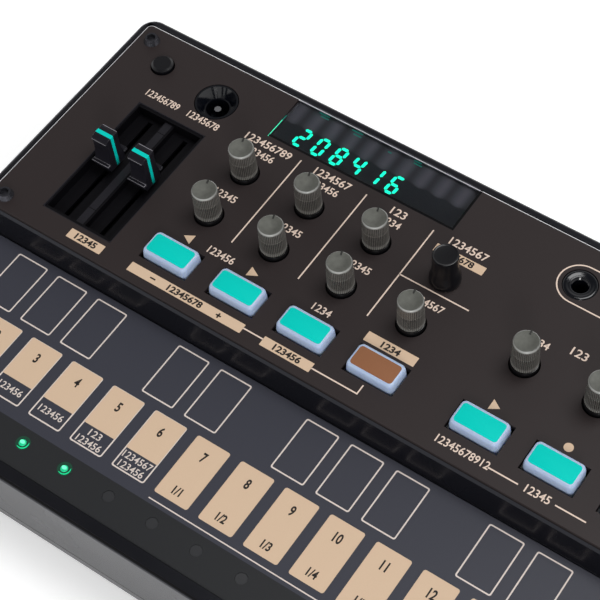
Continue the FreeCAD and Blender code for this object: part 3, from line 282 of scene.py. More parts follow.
# a painted highlight on the case lip's ridge
lip_sheen = grained("lip_sheen", srgb(40, 39, 45), 0.4, mottle=0.1, **DULL)
shade_black = grained("shade_black", srgb(6, 6, 8), 0.5, scale=2000.0, mottle=0.1, **DULL)
# a painted highlight on the plate's chamfer
edge_highlight_paint = grained("edge_highlight_paint", srgb(246, 246, 250), 0.4, mottle=0.06)
black_steel = grained("black_steel", srgb(74, 74, 80), 0.22, metallic=0.8)
bright_steel = grained("bright_steel", srgb(200, 200, 204), 0.2, metallic=1.0)
tin_plate = grained("tin_plate", srgb(196, 196, 190), 0.35, scale=1800.0, metallic=0.9)
foot_rubber = grained("foot_rubber", srgb(30, 30, 31), 0.75, scale=1800.0, mottle=0.2, relief=0.01)
board_green = grained("board_green", srgb(16, 84, 50), 0.4, scale=1200.0, mottle=0.1)
mat_silicone = grained("mat_silicone", srgb(188, 190, 192), 0.55, scale=1500.0, mottle=0.08)
cable_white = grained("cable_white", srgb(214, 214, 208), 0.45, mottle=0.06)
dark_lens = grained("dark_lens", srgb(37, 38, 41), 0.42, scale=2000.0, mottle=0.1)
cell_wrap = grained("cell_wrap", srgb(58, 60, 66), 0.3, scale=900.0)
cone_paper = grained("cone_paper", srgb(28, 28, 29), 0.8, scale=1500.0, mottle=0.25, relief=0.02)
digit_glow = glowing("digit_glow", srgb(8, 238, 196), 1.12)
# painted light: a dim glow for the digits' reflections in the window and the faint end of its edge light, then
# the light picked up by the window's left edge
dim_painted_light = glowing("dim_painted_light", srgb(10, 104, 92), 0.85)
edge_glow = glowing("edge_glow", srgb(70, 215, 170), 0.7)
lamp_glow = glowing("lamp_glow", srgb(6, 166, 116), 0.75)
lamp_core = glowing("lamp_core", srgb(100, 222, 175), 0.85)
lamp_rim_glow = glowing("lamp_rim_glow", srgb(8, 186, 124), 0.75)
lamp_spill = glowing("lamp_spill", srgb(12, 54, 38), 0.5)

for coat, coated in (
        (case_plastic, "upper_case lower_case battery_cover"), (panel_paint, "panel_plate"),
        (deck_print, "touch_plate"), (strip_print, "lamp_strip"), (foot_rubber, "rubber_feet"),
        (black_steel, "case_screws panel_screws speaker_basket speaker_magnet"),
        (bright_steel, "board_screws dc_pin encoder_shaft"), (cone_paper, "speaker_cone"),
        (board_green, "touch_board main_board"), (well_plastic, "slider_well"),
        (window_acrylic, "display_window"), (module_face, "display_module"),
        (socket_plastic, "jack_sockets dc_jack midi_socket"), (knob_black, "power_button program_knob"),
        (smoke_plastic, " ".join(CLEAR_KNOBS)), (milk_plastic, " ".join(BUTTONS)),
        (shade_black, "slide_pot_frames slider_stem_left slider_stem_right pot_bodies power_switch"),
        (tin_plate, "encoder_body battery_contacts"), (mat_silicone, "dome_mat"),
        (cable_white, "flat_cable lamp_diodes"), (dark_lens, "lamp_lenses"), (cell_wrap, "batteries"),
        (cap_plastic, "slider_cap_left slider_cap_right")):
    for node_name in coated.split():
        coats = frame["nodes"][node_name].data.materials
        coats.clear()
        coats.append(coat)


# Forms: points are worked out in millimetres and become a mesh in metres

def put(name, data):
    """A new object in the scene."""
    made = bpy.data.objects.new(name, data)
    bpy.context.scene.collection.objects.link(made)
    return made


def add_piece(name, parts, finish, body=HOUSING, bevel=0.0, smooth_angle=40):
    """One mesh from several (points, faces) parts, riding on a body."""
    shifts = np.cumsum([0] + [len(points) for points, _ in parts[:-1]])
    points = np.concatenate([points for points, _ in parts]) * MM
    faces = [[corner + shift for corner in face]
             for (_, part_faces), shift in zip(parts, shifts.tolist()) for face in part_faces]
    mesh = bpy.data.meshes.new(name)
    mesh.from_pydata(points.tolist(), [], faces)
    mesh.materials.append(finish)
    mesh.shade_smooth()
    mesh.set_sharp_from_angle(angle=math.radians(smooth_angle))
    piece = put(name, mesh)
    if bevel:
        edge = piece.modifiers.new("edge", "BEVEL")
        edge.width = bevel * MM
        edge.segments = 2
        edge.limit_method = "ANGLE"
        edge.angle_limit = math.radians(smooth_angle)
    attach(piece, body)
    return piece


def add_shade(piece, *channels):
    """Gives each point of a piece its shade: one value, or red, green and blue."""
    single = len(channels) == 1
    shade = piece.data.attributes.new("shade", "FLOAT" if single else "FLOAT_COLOR", "POINT")
    values = channels if single else np.stack(np.broadcast_arrays(*channels, 1.0), axis=-1)
    shade.data.foreach_set("value" if single else "color", np.ravel(values))


def skin(rings, closed=False):
    """A surface through closed rings of equal point count, each turning left as seen from the last one.
    Both ends get a flat cap, unless the rings close on themselves."""
    rings = np.asarray(rings, dtype=float)
    count, around = rings.shape[:2]
    index = np.arange(count * around).reshape(count, around)
    side = np.roll(index, -1, axis=1)
    if closed:
        above, side_above = np.roll(index, -1, axis=0), np.roll(side, -1, axis=0)
        quads = np.stack([index, side, side_above, above], axis=-1)
    else:
        quads = np.stack([index[:-1], side[:-1], side[1:], index[1:]], axis=-1)
    faces = quads.reshape(-1, 4).tolist()
    if not closed:
        faces += [index[0, ::-1].tolist(), index[-1].tolist()]
    return rings.reshape(-1, 3), faces


def turned(profile, centre, steps=64, ribs=0, depth=None):
    """Radius and height pairs carried round an upright axis: x = r cos a, y = r sin a.
    With ribs, each radius shrinks by its depth times the share (1 + cos(ribs a)) / 2."""
    profile = np.asarray(profile, dtype=float)
    angle = np.linspace(0, 2 * math.pi, steps, endpoint=False)
    radius = np.repeat(profile[:, :1], steps, axis=1)
    if ribs:
        radius = radius - np.asarray(depth)[:, None] * (1 + np.cos(ribs * angle)) / 2
    x = centre[0] + radius * np.cos(angle)
    y = centre[1] + radius * np.sin(angle)
    z = np.repeat(profile[:, 1:], steps, axis=1)
    return np.stack([x, y, z], axis=-1)


def soft_outline(centre, half, corner, steps=6):
    """A rectangle whose corners are quarter circles, as points turning left."""
    quarter = np.linspace(0, math.pi / 2, steps + 1)
    turns = np.concatenate([quarter + math.pi / 2 * side for side in range(4)])
    signs = np.repeat(np.array([(1, 1), (-1, 1), (-1, -1), (1, -1)]), steps + 1, axis=0)
    core = signs * (np.asarray(half) - corner)
    return np.asarray(centre) + core + corner * np.stack([np.cos(turns), np.sin(turns)], axis=-1)


def between(left, right, front, back):
    """Centre and half sizes of a rectangle."""
    return ((left + right) / 2, (front + back) / 2), ((right - left) / 2, (back - front) / 2)


def at_height(outline, height):
    """Flat points lifted to a height."""
    return np.column_stack([outline, np.full(len(outline), height)])


def plate(outline, low, high):
    """A flat plate: one outline at two heights."""
    return skin([at_height(outline, low), at_height(outline, high)])


def slab(centre, half, corner, low, high):
    """A flat bar with small round corners."""
    return plate(soft_outline(centre, half, corner, steps=2), low, high)


def ring_plate(outer, inner, low, high):
    """A flat frame between two outlines of equal point count."""
    return skin([at_height(outer, low), at_height(outer, high),
                 at_height(inner, high), at_height(inner, low)], closed=True)


def mitres(path):
    """For each point of an open path, how far it moves when the path moves one unit to its left: the mean
    of the normals of the runs beside it, grown so that both runs move evenly."""
    runs = np.diff(path, axis=0)
    runs /= np.linalg.norm(runs, axis=1, keepdims=True)
    normals = np.stack([-runs[:, 1], runs[:, 0]], axis=-1)
    first, last = np.vstack([normals[:1], normals]), np.vstack([normals, normals[-1:]])
    return (first + last) / (1 + (first * last).sum(axis=1, keepdims=True))


def stroke(path, width, low, high):
    """A flat line of even width along an open path, with mitred corners."""
    path = np.asarray(path, dtype=float)
    aside = mitres(path) * width / 2
    return plate(np.vstack([path - aside, (path + aside)[::-1]]), low, high)


def swept(path, section):
    """A bar along a flat path. The section's points are (to the left, height), turning right as seen
    along the path."""
    path = np.asarray(path, dtype=float)
    aside = mitres(path)
    return skin(np.stack([at_height(path + aside * left, height) for left, height in section], axis=1))


# Printed ink

LIFT = 0.015          # height of printed ink over the surface that carries it
INK_DEEP = 0.005      # how far a print sinks into its carrier, so that it leaves no gap
LINE = 0.32           # width of a printed line
WELD = 1e-5           # distance below which two points of a digit are one
DIGIT_CACHE = {}


def ink_levels(top):
    """Low and high level of the ink on a surface, and of the ink printed over that."""
    return (top - INK_DEEP, top + LIFT), (top + LIFT - INK_DEEP, top + 2 * LIFT)


PANEL_INK, PANEL_OVER = ink_levels(PANEL_TOP)
KEY_INK, KEY_OVER = ink_levels(KEY_TOP)


def digit_shape(text, weight):
    """A row of digits one unit high, from x 0 to its width, one unit thick."""
    if (text, weight) not in DIGIT_CACHE:
        curve = bpy.data.curves.new("row", "FONT")
        curve.body = text
        curve.offset = weight
        curve.extrude = 0.5
        curve.resolution_u = 4
        holder = bpy.data.objects.new("row", curve)
        mesh = bpy.data.meshes.new_from_object(holder)
        welded = bmesh.new()
        welded.from_mesh(mesh)
        bmesh.ops.remove_doubles(welded, verts=welded.verts, dist=WELD)
        bmesh.ops.recalc_face_normals(welded, faces=welded.faces)
        welded.verts.index_update()
        points = np.array([vertex.co for vertex in welded.verts], dtype=float)
        faces = [[corner.index for corner in face.verts] for face in welded.faces]
        welded.free()
        bpy.data.objects.remove(holder)
        bpy.data.curves.remove(curve)
        bpy.data.meshes.remove(mesh)
        DIGIT_CACHE[text, weight] = (points, faces)
    return DIGIT_CACHE[text, weight]


def digit_row(text, centre, foot, height, low, high, width=None, weight=0.012, stretch=0.82):
    """Digits with their middle at centre, their foot at a y, and a cap height; width squeezes them."""
    points, faces = digit_shape(text, weight)
    zero = digit_shape("0", weight)[0]
    low_y, high_y = zero[:, 1].min(), zero[:, 1].max()
    scale = height / (high_y - low_y)
    left, right = points[:, 0].min(), points[:, 0].max()
    wide = width / (right - left) if width else scale * stretch
    x = centre + (points[:, 0] - (left + right) / 2) * wide
    y = foot + (points[:, 1] - low_y) * scale
    z = low + (points[:, 2] + 0.5) * (high - low)
    return np.column_stack([x, y, z]), faces


def counted(length):
    """A row of counting digits as long as the word whose place it takes."""
    return "".join(str(place % 9 + 1) for place in range(length))


# Panel print

LABEL_HIGH = 1.92     # cap height of the labels
LETTER_WIDE = 1.14    # width that one letter takes in a label
LABEL_OVER_KNOB = 5.25
HEADER_HIGH = 2.05
HEADER_WIDE, HEADER_GAP = 1.42, 0.4
BAR_HIGH = 1.65       # of the dark digits on the bars
SIGN_LINE = 0.36
# left, right, front and back
PANEL_BARS = ((-72.4, -63.05, -4.9, -2.45), (-55.6, -25.27, -4.78, -2.37), (-20.15, -7.5, -4.83, -2.4),
              (-2.36, 10.15, 7.95, 10.45), (-2.3, 10.17, 35.05, 37.3))
PANEL_LINES = (((-25.3, -3.3), (-20.1, -3.3)), ((-7.6, -3.65), (3.92, -3.65), (3.92, -1.26)),
               ((-40.45, 13.27), (-40.45, 40.0)), ((-22.66, 13.22), (-22.66, 39.95)),
               ((-4.9, 13.34), (-4.9, 39.7)), ((-4.9, 25.97), (12.63, 25.97)),
               ((35.5, -3.63), (42.5, -3.63)), ((51.0, -3.63), (58.0, -3.63)))
PANEL_ARROWS = (((-50.4, 9.2), (-48.1, 7.9), (-48.1, 10.5)), ((-32.8, 7.9), (-30.35, 9.2), (-32.8, 10.5)),
                ((28.4, 7.8), (30.6, 9.15), (28.4, 10.5)))
RECORD_DOT, DOT_RADIUS = (46.8, 9.0), 1.05
# number of digits, x of the middle, y of the foot (of the knob's centre for KNOB_LABELS)
HEADERS = ((9, -49.1, 38.4), (7, -31.5, 38.4), (3, -13.8, 38.4), (7, 4.35, 38.4), (3, 37.8, 28.2))
KNOB_LABELS = ((6, -49.1, 30.2), (5, -49.1, 16.7), (6, -31.5, 30.2), (5, -31.5, 16.7), (4, -13.8, 30.2),
               (5, -13.3, 16.7), (7, 4.2, 16.7), (4, 29.3, 21.0), (3, 46.8, 21.0), (5, 64.6, 21.0),
               (6, 82.2, 21.0))
BUTTON_LABELS = ((6, -40.3, 8.35), (4, -13.75, 8.4), (11, 29.4, -4.3), (5, 46.95, -4.4), (3, 64.6, 8.4),
                 (4, 82.2, 8.4))
BAR_DIGITS = ((5, -67.7, -4.45), (8, -40.6, -4.4), (6, -13.8, -4.4), (4, 3.9, 8.3), (8, 2.9, 35.38))
SLIDER_LABELS = ((9, -77.7, 36.4, 9.2), (8, -66.1, 36.4, 8.6))    # the last value is the width
SIGN_LINES = (((-49.9, -3.6), (-48.5, -3.6)), ((-32.25, -3.6), (-30.95, -3.6)),
              ((-31.6, -4.25), (-31.6, -2.95)))
JACK_LINE = 44.4
JACK_PLACES = (29.2, 41.2, 53.2, 83.6)
SOCKET_OUTLINES = ((29.2, 41.2), (53.2, 53.2), (83.6, 83.6))      # first and last socket in each outline
SOCKET_RING = 5.05


def panel_print():
    """Tan bars, rules, arrows and digit rows on the panel, and the dark digits on the bars."""
    fills = [slab(*between(*bar), 0.12, *PANEL_INK) for bar in PANEL_BARS]
    fills += [plate(np.array(arrow), *PANEL_INK) for arrow in PANEL_ARROWS]
    fills.append(skin(turned([(DOT_RADIUS, level) for level in PANEL_INK], RECORD_DOT, 32)))
    add_piece("panel_bars", fills, ink_tan)

    lines = [stroke(path, LINE, *PANEL_INK) for path in PANEL_LINES]
    for left, right in SOCKET_OUTLINES:
        half = np.array((SOCKET_RING + (right - left) / 2, SOCKET_RING))
        outer, inner = (soft_outline(((left + right) / 2, JACK_LINE), half + away, SOCKET_RING + away, steps=12)
                        for away in (LINE / 2, -LINE / 2))
        lines.append(ring_plate(outer, inner, *PANEL_INK))
    add_piece("panel_rules", lines, ink_label)

    labels = [(length, x, y + LABEL_OVER_KNOB, length * LETTER_WIDE) for length, x, y in KNOB_LABELS]
    labels += [(length, x, y, length * LETTER_WIDE) for length, x, y in BUTTON_LABELS]
    rows = [digit_row(counted(length), x, y, HEADER_HIGH, *PANEL_INK, length * HEADER_WIDE - HEADER_GAP)
            for length, x, y in HEADERS]
    rows += [digit_row(counted(length), x, y, LABEL_HIGH, *PANEL_INK, width)
             for length, x, y, width in (*labels, *SLIDER_LABELS)]
    add_piece("panel_digits", rows, ink_label)

    dark = [digit_row(counted(length), x, y, BAR_HIGH, *PANEL_OVER, length * LETTER_WIDE, weight=0.035)
            for length, x, y in BAR_DIGITS]
    dark += [stroke(path, SIGN_LINE, *PANEL_OVER) for path in SIGN_LINES]
    add_piece("bar_digits", dark, ink_dark)


# Keyboard print

KEY_PITCH = 11.2
KEY_COUNT = 16
KEY_LEFT = -8 * KEY_PITCH + 0.05
KEY_HALF, KEY_CORNER = 4.23, 0.55
FILL_LIFT = 0.002     # the key faces over the other ink
KEY_FRONT, KEY_SPLIT, KEY_BACK = -41.77, -36.84, -26.39
KEY_DIGIT_FOOT, KEY_DIGIT_HIGH = -31.4, 2.42
SHARP_HALF, SHARP_CORNER = 4.14, 0.5
SHARP_FRONT, SHARP_BACK = -24.41, -10.86
SHARP_PLACES = (1, 2, 3, 5, 6, 8, 9, 10, 12, 13, 15)
BOXED_KEYS = 6
# digits in each row of a boxed key, and the feet of one row or of two
BOX_ROWS = {1: (5,), 2: (6,), 3: (6,), 4: (6,), 5: (3, 6), 6: (7, 6)}
BOX_FEET = {1: (-39.85,), 2: (-38.92, -41.2)}
BOX_HIGH, BOX_LETTER = 1.65, 1.04
BEAT_FOOT, BEAT_HIGH = -40.3, 2.05
BEAT_RULE = ((-20.9, -43.5), (88.1, -43.5))


def outlined(centre, half, corner):
    """The printed outline of a rounded rectangle on the keyboard."""
    return ring_plate(soft_outline(centre, half, corner),
                      soft_outline(centre, np.array(half) - LINE, corner - 0.2), *KEY_INK)


def keyboard_print():
    """Tan keys with dark digits, boxed lower halves on the first keys, and outlined sharps."""
    fills, lines, dark, light = [], [], [], []
    for key in range(1, KEY_COUNT + 1):
        x = KEY_LEFT + (key - 0.5) * KEY_PITCH
        boxed = key <= BOXED_KEYS
        front, corner, inset = (KEY_SPLIT, 0.1, LINE) if boxed else (KEY_FRONT, KEY_CORNER, 0)
        half = (KEY_HALF - inset / 2, (KEY_BACK - front) / 2 - inset / 4)
        fills.append(plate(soft_outline((x, (front + KEY_BACK) / 2), half, corner), KEY_INK[0],
                           KEY_INK[1] + FILL_LIFT))
        dark.append(digit_row(str(key), x, KEY_DIGIT_FOOT, KEY_DIGIT_HIGH, *KEY_OVER, weight=0.03,
                              stretch=0.72))
        if boxed:
            lines.append(outlined((x, (KEY_FRONT + KEY_BACK) / 2), (KEY_HALF, (KEY_BACK - KEY_FRONT) / 2),
                                  KEY_CORNER))
            light += [digit_row(counted(length), x, foot, BOX_HIGH, *KEY_INK, length * BOX_LETTER, weight=0.008)
                      for length, foot in zip(BOX_ROWS[key], BOX_FEET[len(BOX_ROWS[key])])]
        else:
            dark.append(digit_row(f"1/{key - BOXED_KEYS}", x, BEAT_FOOT, BEAT_HIGH, *KEY_OVER, weight=0.03,
                                  stretch=0.78))
    lines += [outlined((KEY_LEFT + place * KEY_PITCH, (SHARP_FRONT + SHARP_BACK) / 2),
                       (SHARP_HALF, (SHARP_BACK - SHARP_FRONT) / 2), SHARP_CORNER)
              for place in SHARP_PLACES]
    lines.append(stroke(BEAT_RULE, LINE * 0.85, *KEY_INK))
    add_piece("key_faces", fills, ink_tan)
    add_piece("key_outlines", lines, ink_line)
    add_piece("key_digits", dark, ink_dark)
    add_piece("box_digits", light, ink_line)


# Edges of the plates and the case

PLATE_ROUND = 1.6
PLATE_CHAMFER = 0.35
EDGE_START = 0.6       # from the plate's front to where the bright edge starts
EDGE_FILM = 0.012      # thickness of the bright edge over the plate
SEAM_REACH = 0.35
CASE_LIP = 23.074      # the case's top in front of the lamp strip
# painted shade in the lip's grooves and round its edge, and a painted highlight on the ridge
LIP_GROOVES = ((-54.14, 0.36), (-55.42, 0.4))     # y and width
LIP_EDGE = ((-56.6, 22.6), (-56.67, 22.796), (-56.54, 22.922), (-56.38, 23.016), (-56.2, CASE_LIP + 0.006),
            (-56.2, CASE_LIP - 0.15))             # y and height
RIDGE_LINE, RIDGE_HALF = -55.97, 0.2


def bare_edges():
    """A painted highlight on the plate's cut edge: a thin bright band on its chamfer, up one side, along the
    back and down the other side."""
    (left, front), (right, back) = PLATE_LOW[:2], PLATE_HIGH[:2]
    outline = soft_outline(*between(left, right, front, back), PLATE_ROUND)
    path = np.vstack([(right, front + EDGE_START), outline[:len(outline) // 2], (left, front + EDGE_START)])
    low, high = PANEL_TOP - PLATE_CHAMFER, PANEL_TOP + EDGE_FILM
    section = ((0.4, low), (0.4, high), (0.34, high), (-EDGE_FILM, low + 0.01), (-EDGE_FILM, low - 0.05))
    add_piece("panel_edge_highlight", [swept(path, section)], edge_highlight_paint)


def deck_seam():
    """The ink that runs on over the seam between the key area and the lamp strip."""
    left, right = max(DECK_LOW[0], STRIP_LOW[0]) + 0.2, min(DECK_HIGH[0], STRIP_HIGH[0]) - 0.2
    seam = (DECK_LOW[1] + STRIP_HIGH[1]) / 2
    level = min(KEY_TOP, STRIP_HIGH[2])
    bar = slab(((left + right) / 2, seam - SEAM_REACH / 2), ((right - left) / 2, SEAM_REACH), 0.05,
               level - 0.2, level + 0.004)
    add_piece("deck_seam", [bar], strip_print)


def front_lip():
    """Painted shade in two grooves and in a line round the edge, and a painted highlight on the ridge between
    them and the edge, along the case's lip in front of the lamp strip."""
    half = STRIP_HIGH[0] - 0.3
    grooves = [slab((0, y), (half, width / 2), 0.05, CASE_LIP - 0.2, CASE_LIP + 0.006)
               for y, width in LIP_GROOVES]
    # the edge's section runs from its foot up, for a path that goes to the right at y 0
    edge = swept([(-half, 0.0), (half, 0.0)], LIP_EDGE)
    add_piece("lip_groove_shade", [*grooves, edge], shade_black)
    ridge = slab((0, RIDGE_LINE), (half, RIDGE_HALF), 0.05, CASE_LIP - 0.2, CASE_LIP + 0.01)
    add_piece("lip_ridge_highlight", [ridge], lip_sheen)


# Knobs

KNOB_RIBS = 44
TOP_EDGE = 2.55        # radius where a clear knob's flat top ends
# turn of the rim's painted highlight, at front and back; painted shade falls a quarter turn from it
RIM_HIGHLIGHT_TURN = math.radians(-62)
# turn towards which the painted shade on the top deepens
TOP_SHADE_TURN = math.radians(10)
SHADE_DEPTH = 8        # depth under the top at which the bands end
# radius, depth under the top, rib depth, from the foot up
CLEAR_ROWS = np.array((
    (0.0, 7.95, 0.0), (2.9, 7.95, 0.0), (3.0, 7.75, 0.06), (3.03, 7.5, 0.14), (3.02, 7.2, 0.22),
    (2.97, 3.4, 0.20), (2.95, 3.2, 0.08), (2.94, 3.0, 0.12), (2.92, 0.8, 0.10), (2.91, 0.6, 0.03),
    (2.89, 0.36, 0), (2.82, 0.24, 0), (2.60, 0.03, 0), (2.52, 0.0, 0), (2.4, 0.0, 0), (1.6, 0.04, 0),
    (0.7, 0.06, 0), (0.0, 0.06, 0)))
# radius and depth under the top, from the foot up
COLLAR_ROWS = ((0.0, 11.0), (3.16, 11.0), (3.16, 8.6), (3.14, 8.3), (3.02, 8.06), (2.7, 7.98), (0.0, 7.98))
PROGRAM_ROWS = ((0.0, 8.8), (3.5, 8.8), (3.54, 8.7), (3.52, 8.0), (3.46, 7.4), (3.32, 6.8), (3.12, 6.1),
                (3.0, 5.4), (2.95, 4.6), (2.93, 0.5), (2.9, 0.2), (2.82, 0.03), (2.72, 0.0), (2.6, 0.08),
                (2.3, 0.12), (0.0, 0.12))
NOTCH_START, NOTCH_END, NOTCH_WIDE = 1.7, 2.9, 0.42


def under_top(node, rows, steps):
    """A turned form on a node's axis, from radius and depth-under-the-top rows."""
    top = span(node)[1][2]
    return skin(turned([(radius, top - drop) for radius, drop in rows], middle(node)[:2], steps))


def clear_knob(node):
    """A clear shaft end: a frosted top with a bevelled rim, fine ribs and a black collar in the hole."""
    radius, drop, rib = CLEAR_ROWS.T
    steps = KNOB_RIBS * 6
    profile = np.column_stack([radius, span(node)[1][2] - drop])
    body = skin(turned(profile, middle(node)[:2], steps, KNOB_RIBS, rib))
    knob = add_piece(node + "_clear", [body], smoke_plastic, body=node, smooth_angle=50)
    # shade: depth under the top, nearness to a groove for its painted shade, and painted light and shade: pale
    # wings on the rim at front and back, dark wings at its sides, and painted shade that deepens towards one
    # side of the top
    angle = np.linspace(0, 2 * math.pi, steps, endpoint=False)
    depth = np.where(radius < TOP_EDGE, 0.0, drop)[:, None] / SHADE_DEPTH
    groove = (1 + np.cos(KNOB_RIBS * angle)) / 2 * (drop > 0.5)[:, None]
    on_top, on_rim = (drop < 0.5) & (radius < TOP_EDGE), (drop < 0.5) & (radius > TOP_EDGE)
    sheen = ((1 - np.cos(2 * (angle - RIM_HIGHLIGHT_TURN))) / 2 * on_rim[:, None]
             + (1 + np.cos(angle - TOP_SHADE_TURN)) / 2 * (0.4 * np.minimum(radius, 1.6) * on_top)[:, None])
    add_shade(knob, depth, groove, sheen)
    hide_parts(node)
    collar = add_piece(node + "_collar", [under_top(node, COLLAR_ROWS, 64)], gloss_black, body=node)


def notch(node):
    """The dark pointer slot in a clear knob's top, from near its middle to its rim. The knob points
    straight back when its joint stands midway, and is turned by the joint's distance from there."""
    joint = next(joint for joint in frame["joints"] if joint["child"] == node)
    angle = math.radians(90 - sum(joint["range_deg"]) / 2)
    way = np.array([math.cos(angle), math.sin(angle)])
    centre, top = middle(node)[:2], span(node)[1][2]
    slot = stroke([centre + way * NOTCH_START, centre + way * NOTCH_END], NOTCH_WIDE, top - 0.5, top + 0.004)
    add_piece(node + "_notch", [slot], notch_grey, body=node)


def program_knob():
    """A black turned knob: a flat top with a bright edge, straight sides and a flared skirt."""
    knob = add_piece("program_knob_turned", [under_top("program_knob", PROGRAM_ROWS, 96)], knob_black,
                     body="program_knob")
    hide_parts("program_knob")


# Buttons

BUTTON_HALF, BUTTON_CORNER = np.array((5.95, 3.4)), 1.25
BUTTON_ROWS = ((0.0, 5.0), (0.04, 2.4), (0.16, 0.8), (0.26, 0.42), (0.42, 0.16), (0.62, 0.03),
               (0.8, 0.0))      # inset, and depth under the top
FACE_HALF = np.array((5.15, 2.42))
FACE_ROWS = ((0.0, 0.75, -0.1), (0.0, 0.75, 0.02), (0.05, 0.7, 0.04))    # inset, corner, height over the top
BROWN_X = 4.05
BROWN_BUTTON = min(BUTTONS, key=lambda name: abs(middle(name)[0] - BROWN_X))


def milk_button(node):
    """A milky key cap: rounded rectangles that draw in with height and round over at the crest,
    with a coloured face let into the top."""
    centre, top = middle(node)[:2], span(node)[1][2]
    rings = [at_height(soft_outline(centre, BUTTON_HALF - inset, BUTTON_CORNER - inset * 0.5), top - drop)
             for inset, drop in BUTTON_ROWS]
    cap = add_piece(node + "_cap", [skin(rings)], milk_plastic, body=node)
    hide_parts(node)
    face = [at_height(soft_outline(centre, FACE_HALF - inset, corner), top + rise)
            for inset, corner, rise in FACE_ROWS]
    add_piece(node + "_face", [skin(face)], brown_paint if node == BROWN_BUTTON else teal_paint, body=node)


# Faders

CAP_TOP = 38.25
CAP_Y = 17.65
CAP_HALF = 2.1
CAP_FOOT_HALF = 2.4
# y from the cap's middle, and height under its top
CAP_SHAPE = np.array((
    (-2.55, -9.6), (-2.55, -6.9), (-2.3, -6.0), (-2.05, -4.8), (-1.92, -3.6), (-1.9, -2.4), (-1.98, -1.3),
    (-2.15, -0.6), (-2.1, -0.42), (-1.5, -0.1), (-0.7, 0.0), (0.7, 0.0), (1.7, 0.02), (2.02, -0.1),
    (2.05, -0.4), (1.95, -1.3), (1.9, -2.4), (1.92, -3.6), (2.05, -4.8), (2.3, -6.0), (2.55, -6.9),
    (2.55, -9.6)))
CAP_LEDGES = ((-3.5, -2.3), (2.3, 3.5))
LEDGE_LOW, LEDGE_HIGH = -7.5, -6.9
# up the stripe's left half: distance inside the flank, height under the top, half width, lit share from 0
# (painted
# # shade at its foot, deep in the well) to 1, and the way out of the cap
STRIPE_ROWS = ((0, -9.4, 0.42, 0.1, -1, 0), (0, -8.2, 0.42, 0.55, -1, 0), (0, -6.6, 0.42, 1.0, -1, 0),
               (0, -0.3, 0.42, 1.0, -1, 0), (0, -0.11, 0.44, 1.0, -1, 0),
               (0.025, -0.025, 0.47, 1.0, -0.9, 0.9), (0.11, 0.0, 0.5, 1.0, 0, 1), (0.35, 0.0, 0.5, 1.0, 0, 1))
STRIPE_OUT, STRIPE_DEEP = 0.03, -0.1
# painted highlights on the cap's edges, from the cap's middle and top: x, y, half width, half depth, corner,
# low, high
EDGE_GLINTS = ((0, 1.95, CAP_HALF - 0.15, 0.07, 0.06, -0.12, 0.015),
              (0, -2.17, CAP_HALF - 0.15, 0.05, 0.04, -0.75, -0.6),
              (0, -3.42, CAP_FOOT_HALF - 0.1, 0.06, 0.05, -7.2, -6.885),
              (0, -2.68, CAP_FOOT_HALF - 0.1, 0.05, 0.04, -7.0, -6.885),
              (CAP_FOOT_HALF - 0.06, -3.05, 0.06, 0.4, 0.05, -7.2, -6.885))


def fader_cap(node, body):
    """A waisted cap: one closed outline in the y-z plane at both flanks, on a foot with a ledge at the
    front and the back, a teal stripe from flank to flank over the crest that darkens to painted shade at its
    feet, and painted highlights on its edges."""
    x = middle(node)[0]
    left = np.column_stack([np.full(len(CAP_SHAPE), x - CAP_HALF), CAP_SHAPE + (CAP_Y, CAP_TOP)])
    right = left + (2 * CAP_HALF, 0, 0)
    ledges = [slab((x, CAP_Y + (front + back) / 2), (CAP_FOOT_HALF, (back - front) / 2), 0.12,
                   CAP_TOP + LEDGE_LOW, CAP_TOP + LEDGE_HIGH) for front, back in CAP_LEDGES]
    cap = add_piece(node + "_cap", [skin([right, left]), *ledges], cap_plastic, body=body, bevel=0.1)
    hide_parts(node)

    inside, height, wide, lit_share, out_x, out_z = np.array(STRIPE_ROWS + STRIPE_ROWS[::-1]).T
    flank = np.repeat((-1, 1), len(STRIPE_ROWS))
    out_x = out_x * -flank
    rings = [np.column_stack([x + flank * (CAP_HALF - inside) + out_x * reach, CAP_Y + wide * side,
                              CAP_TOP + height + out_z * reach])
             for reach, side in ((STRIPE_OUT, 1), (STRIPE_OUT, -1), (STRIPE_DEEP, -1), (STRIPE_DEEP, 1))]
    stripe = add_piece(node + "_stripe", [skin(np.stack(rings, axis=1))], stripe_paint, body=body)
    add_shade(stripe, np.repeat(lit_share, len(rings)))

    glint_slabs = [slab((x + aside, CAP_Y + y), (half_x, half_y), corner, CAP_TOP + low, CAP_TOP + high)
            for aside, y, half_x, half_y, corner, low, high in EDGE_GLINTS]
    shine = add_piece(node + "_shine", glint_slabs, cap_shine, body=body)


WELL_HALF = np.array((9.55, 17.6))
# inset, corner, height over the panel
WELL_RIM = ((0.0, 0.5, -0.45), (0.0, 0.5, 0.004), (0.18, 0.45, 0.004), (0.3, 0.4, -0.45))
WELL_DIVIDER = -72.75
WELL_JOINTS = (4.6, 29.75)
DIVIDER_TOP = PANEL_TOP - 1.08
DIVIDER_HALF, DIVIDER_INSET = 0.93, 0.95
WELL_FLOOR = 27.2
SLOT_HALF, LIP_HALF, SLOT_REACH = 0.95, 0.63, 15.5


def well_details():
    """The well's bevelled rim, and the grey capping of its divider in three lengths."""
    rim = [at_height(soft_outline(WELL, WELL_HALF - inset, corner), PANEL_TOP + rise)
           for inset, corner, rise in WELL_RIM]
    add_piece("well_rim", [skin(rim, closed=True)], divider_plastic)
    reach = WELL_HALF[1] - DIVIDER_INSET
    ends = (WELL[1] - reach, *WELL_JOINTS, WELL[1] + reach)
    bars = [slab((WELL_DIVIDER, (start + stop) / 2), (DIVIDER_HALF, (stop - start) / 2 - 0.1), 0.1,
                 DIVIDER_TOP - 0.2, DIVIDER_TOP) for start, stop in zip(ends[:-1], ends[1:])]
    add_piece("well_divider", bars, divider_plastic)


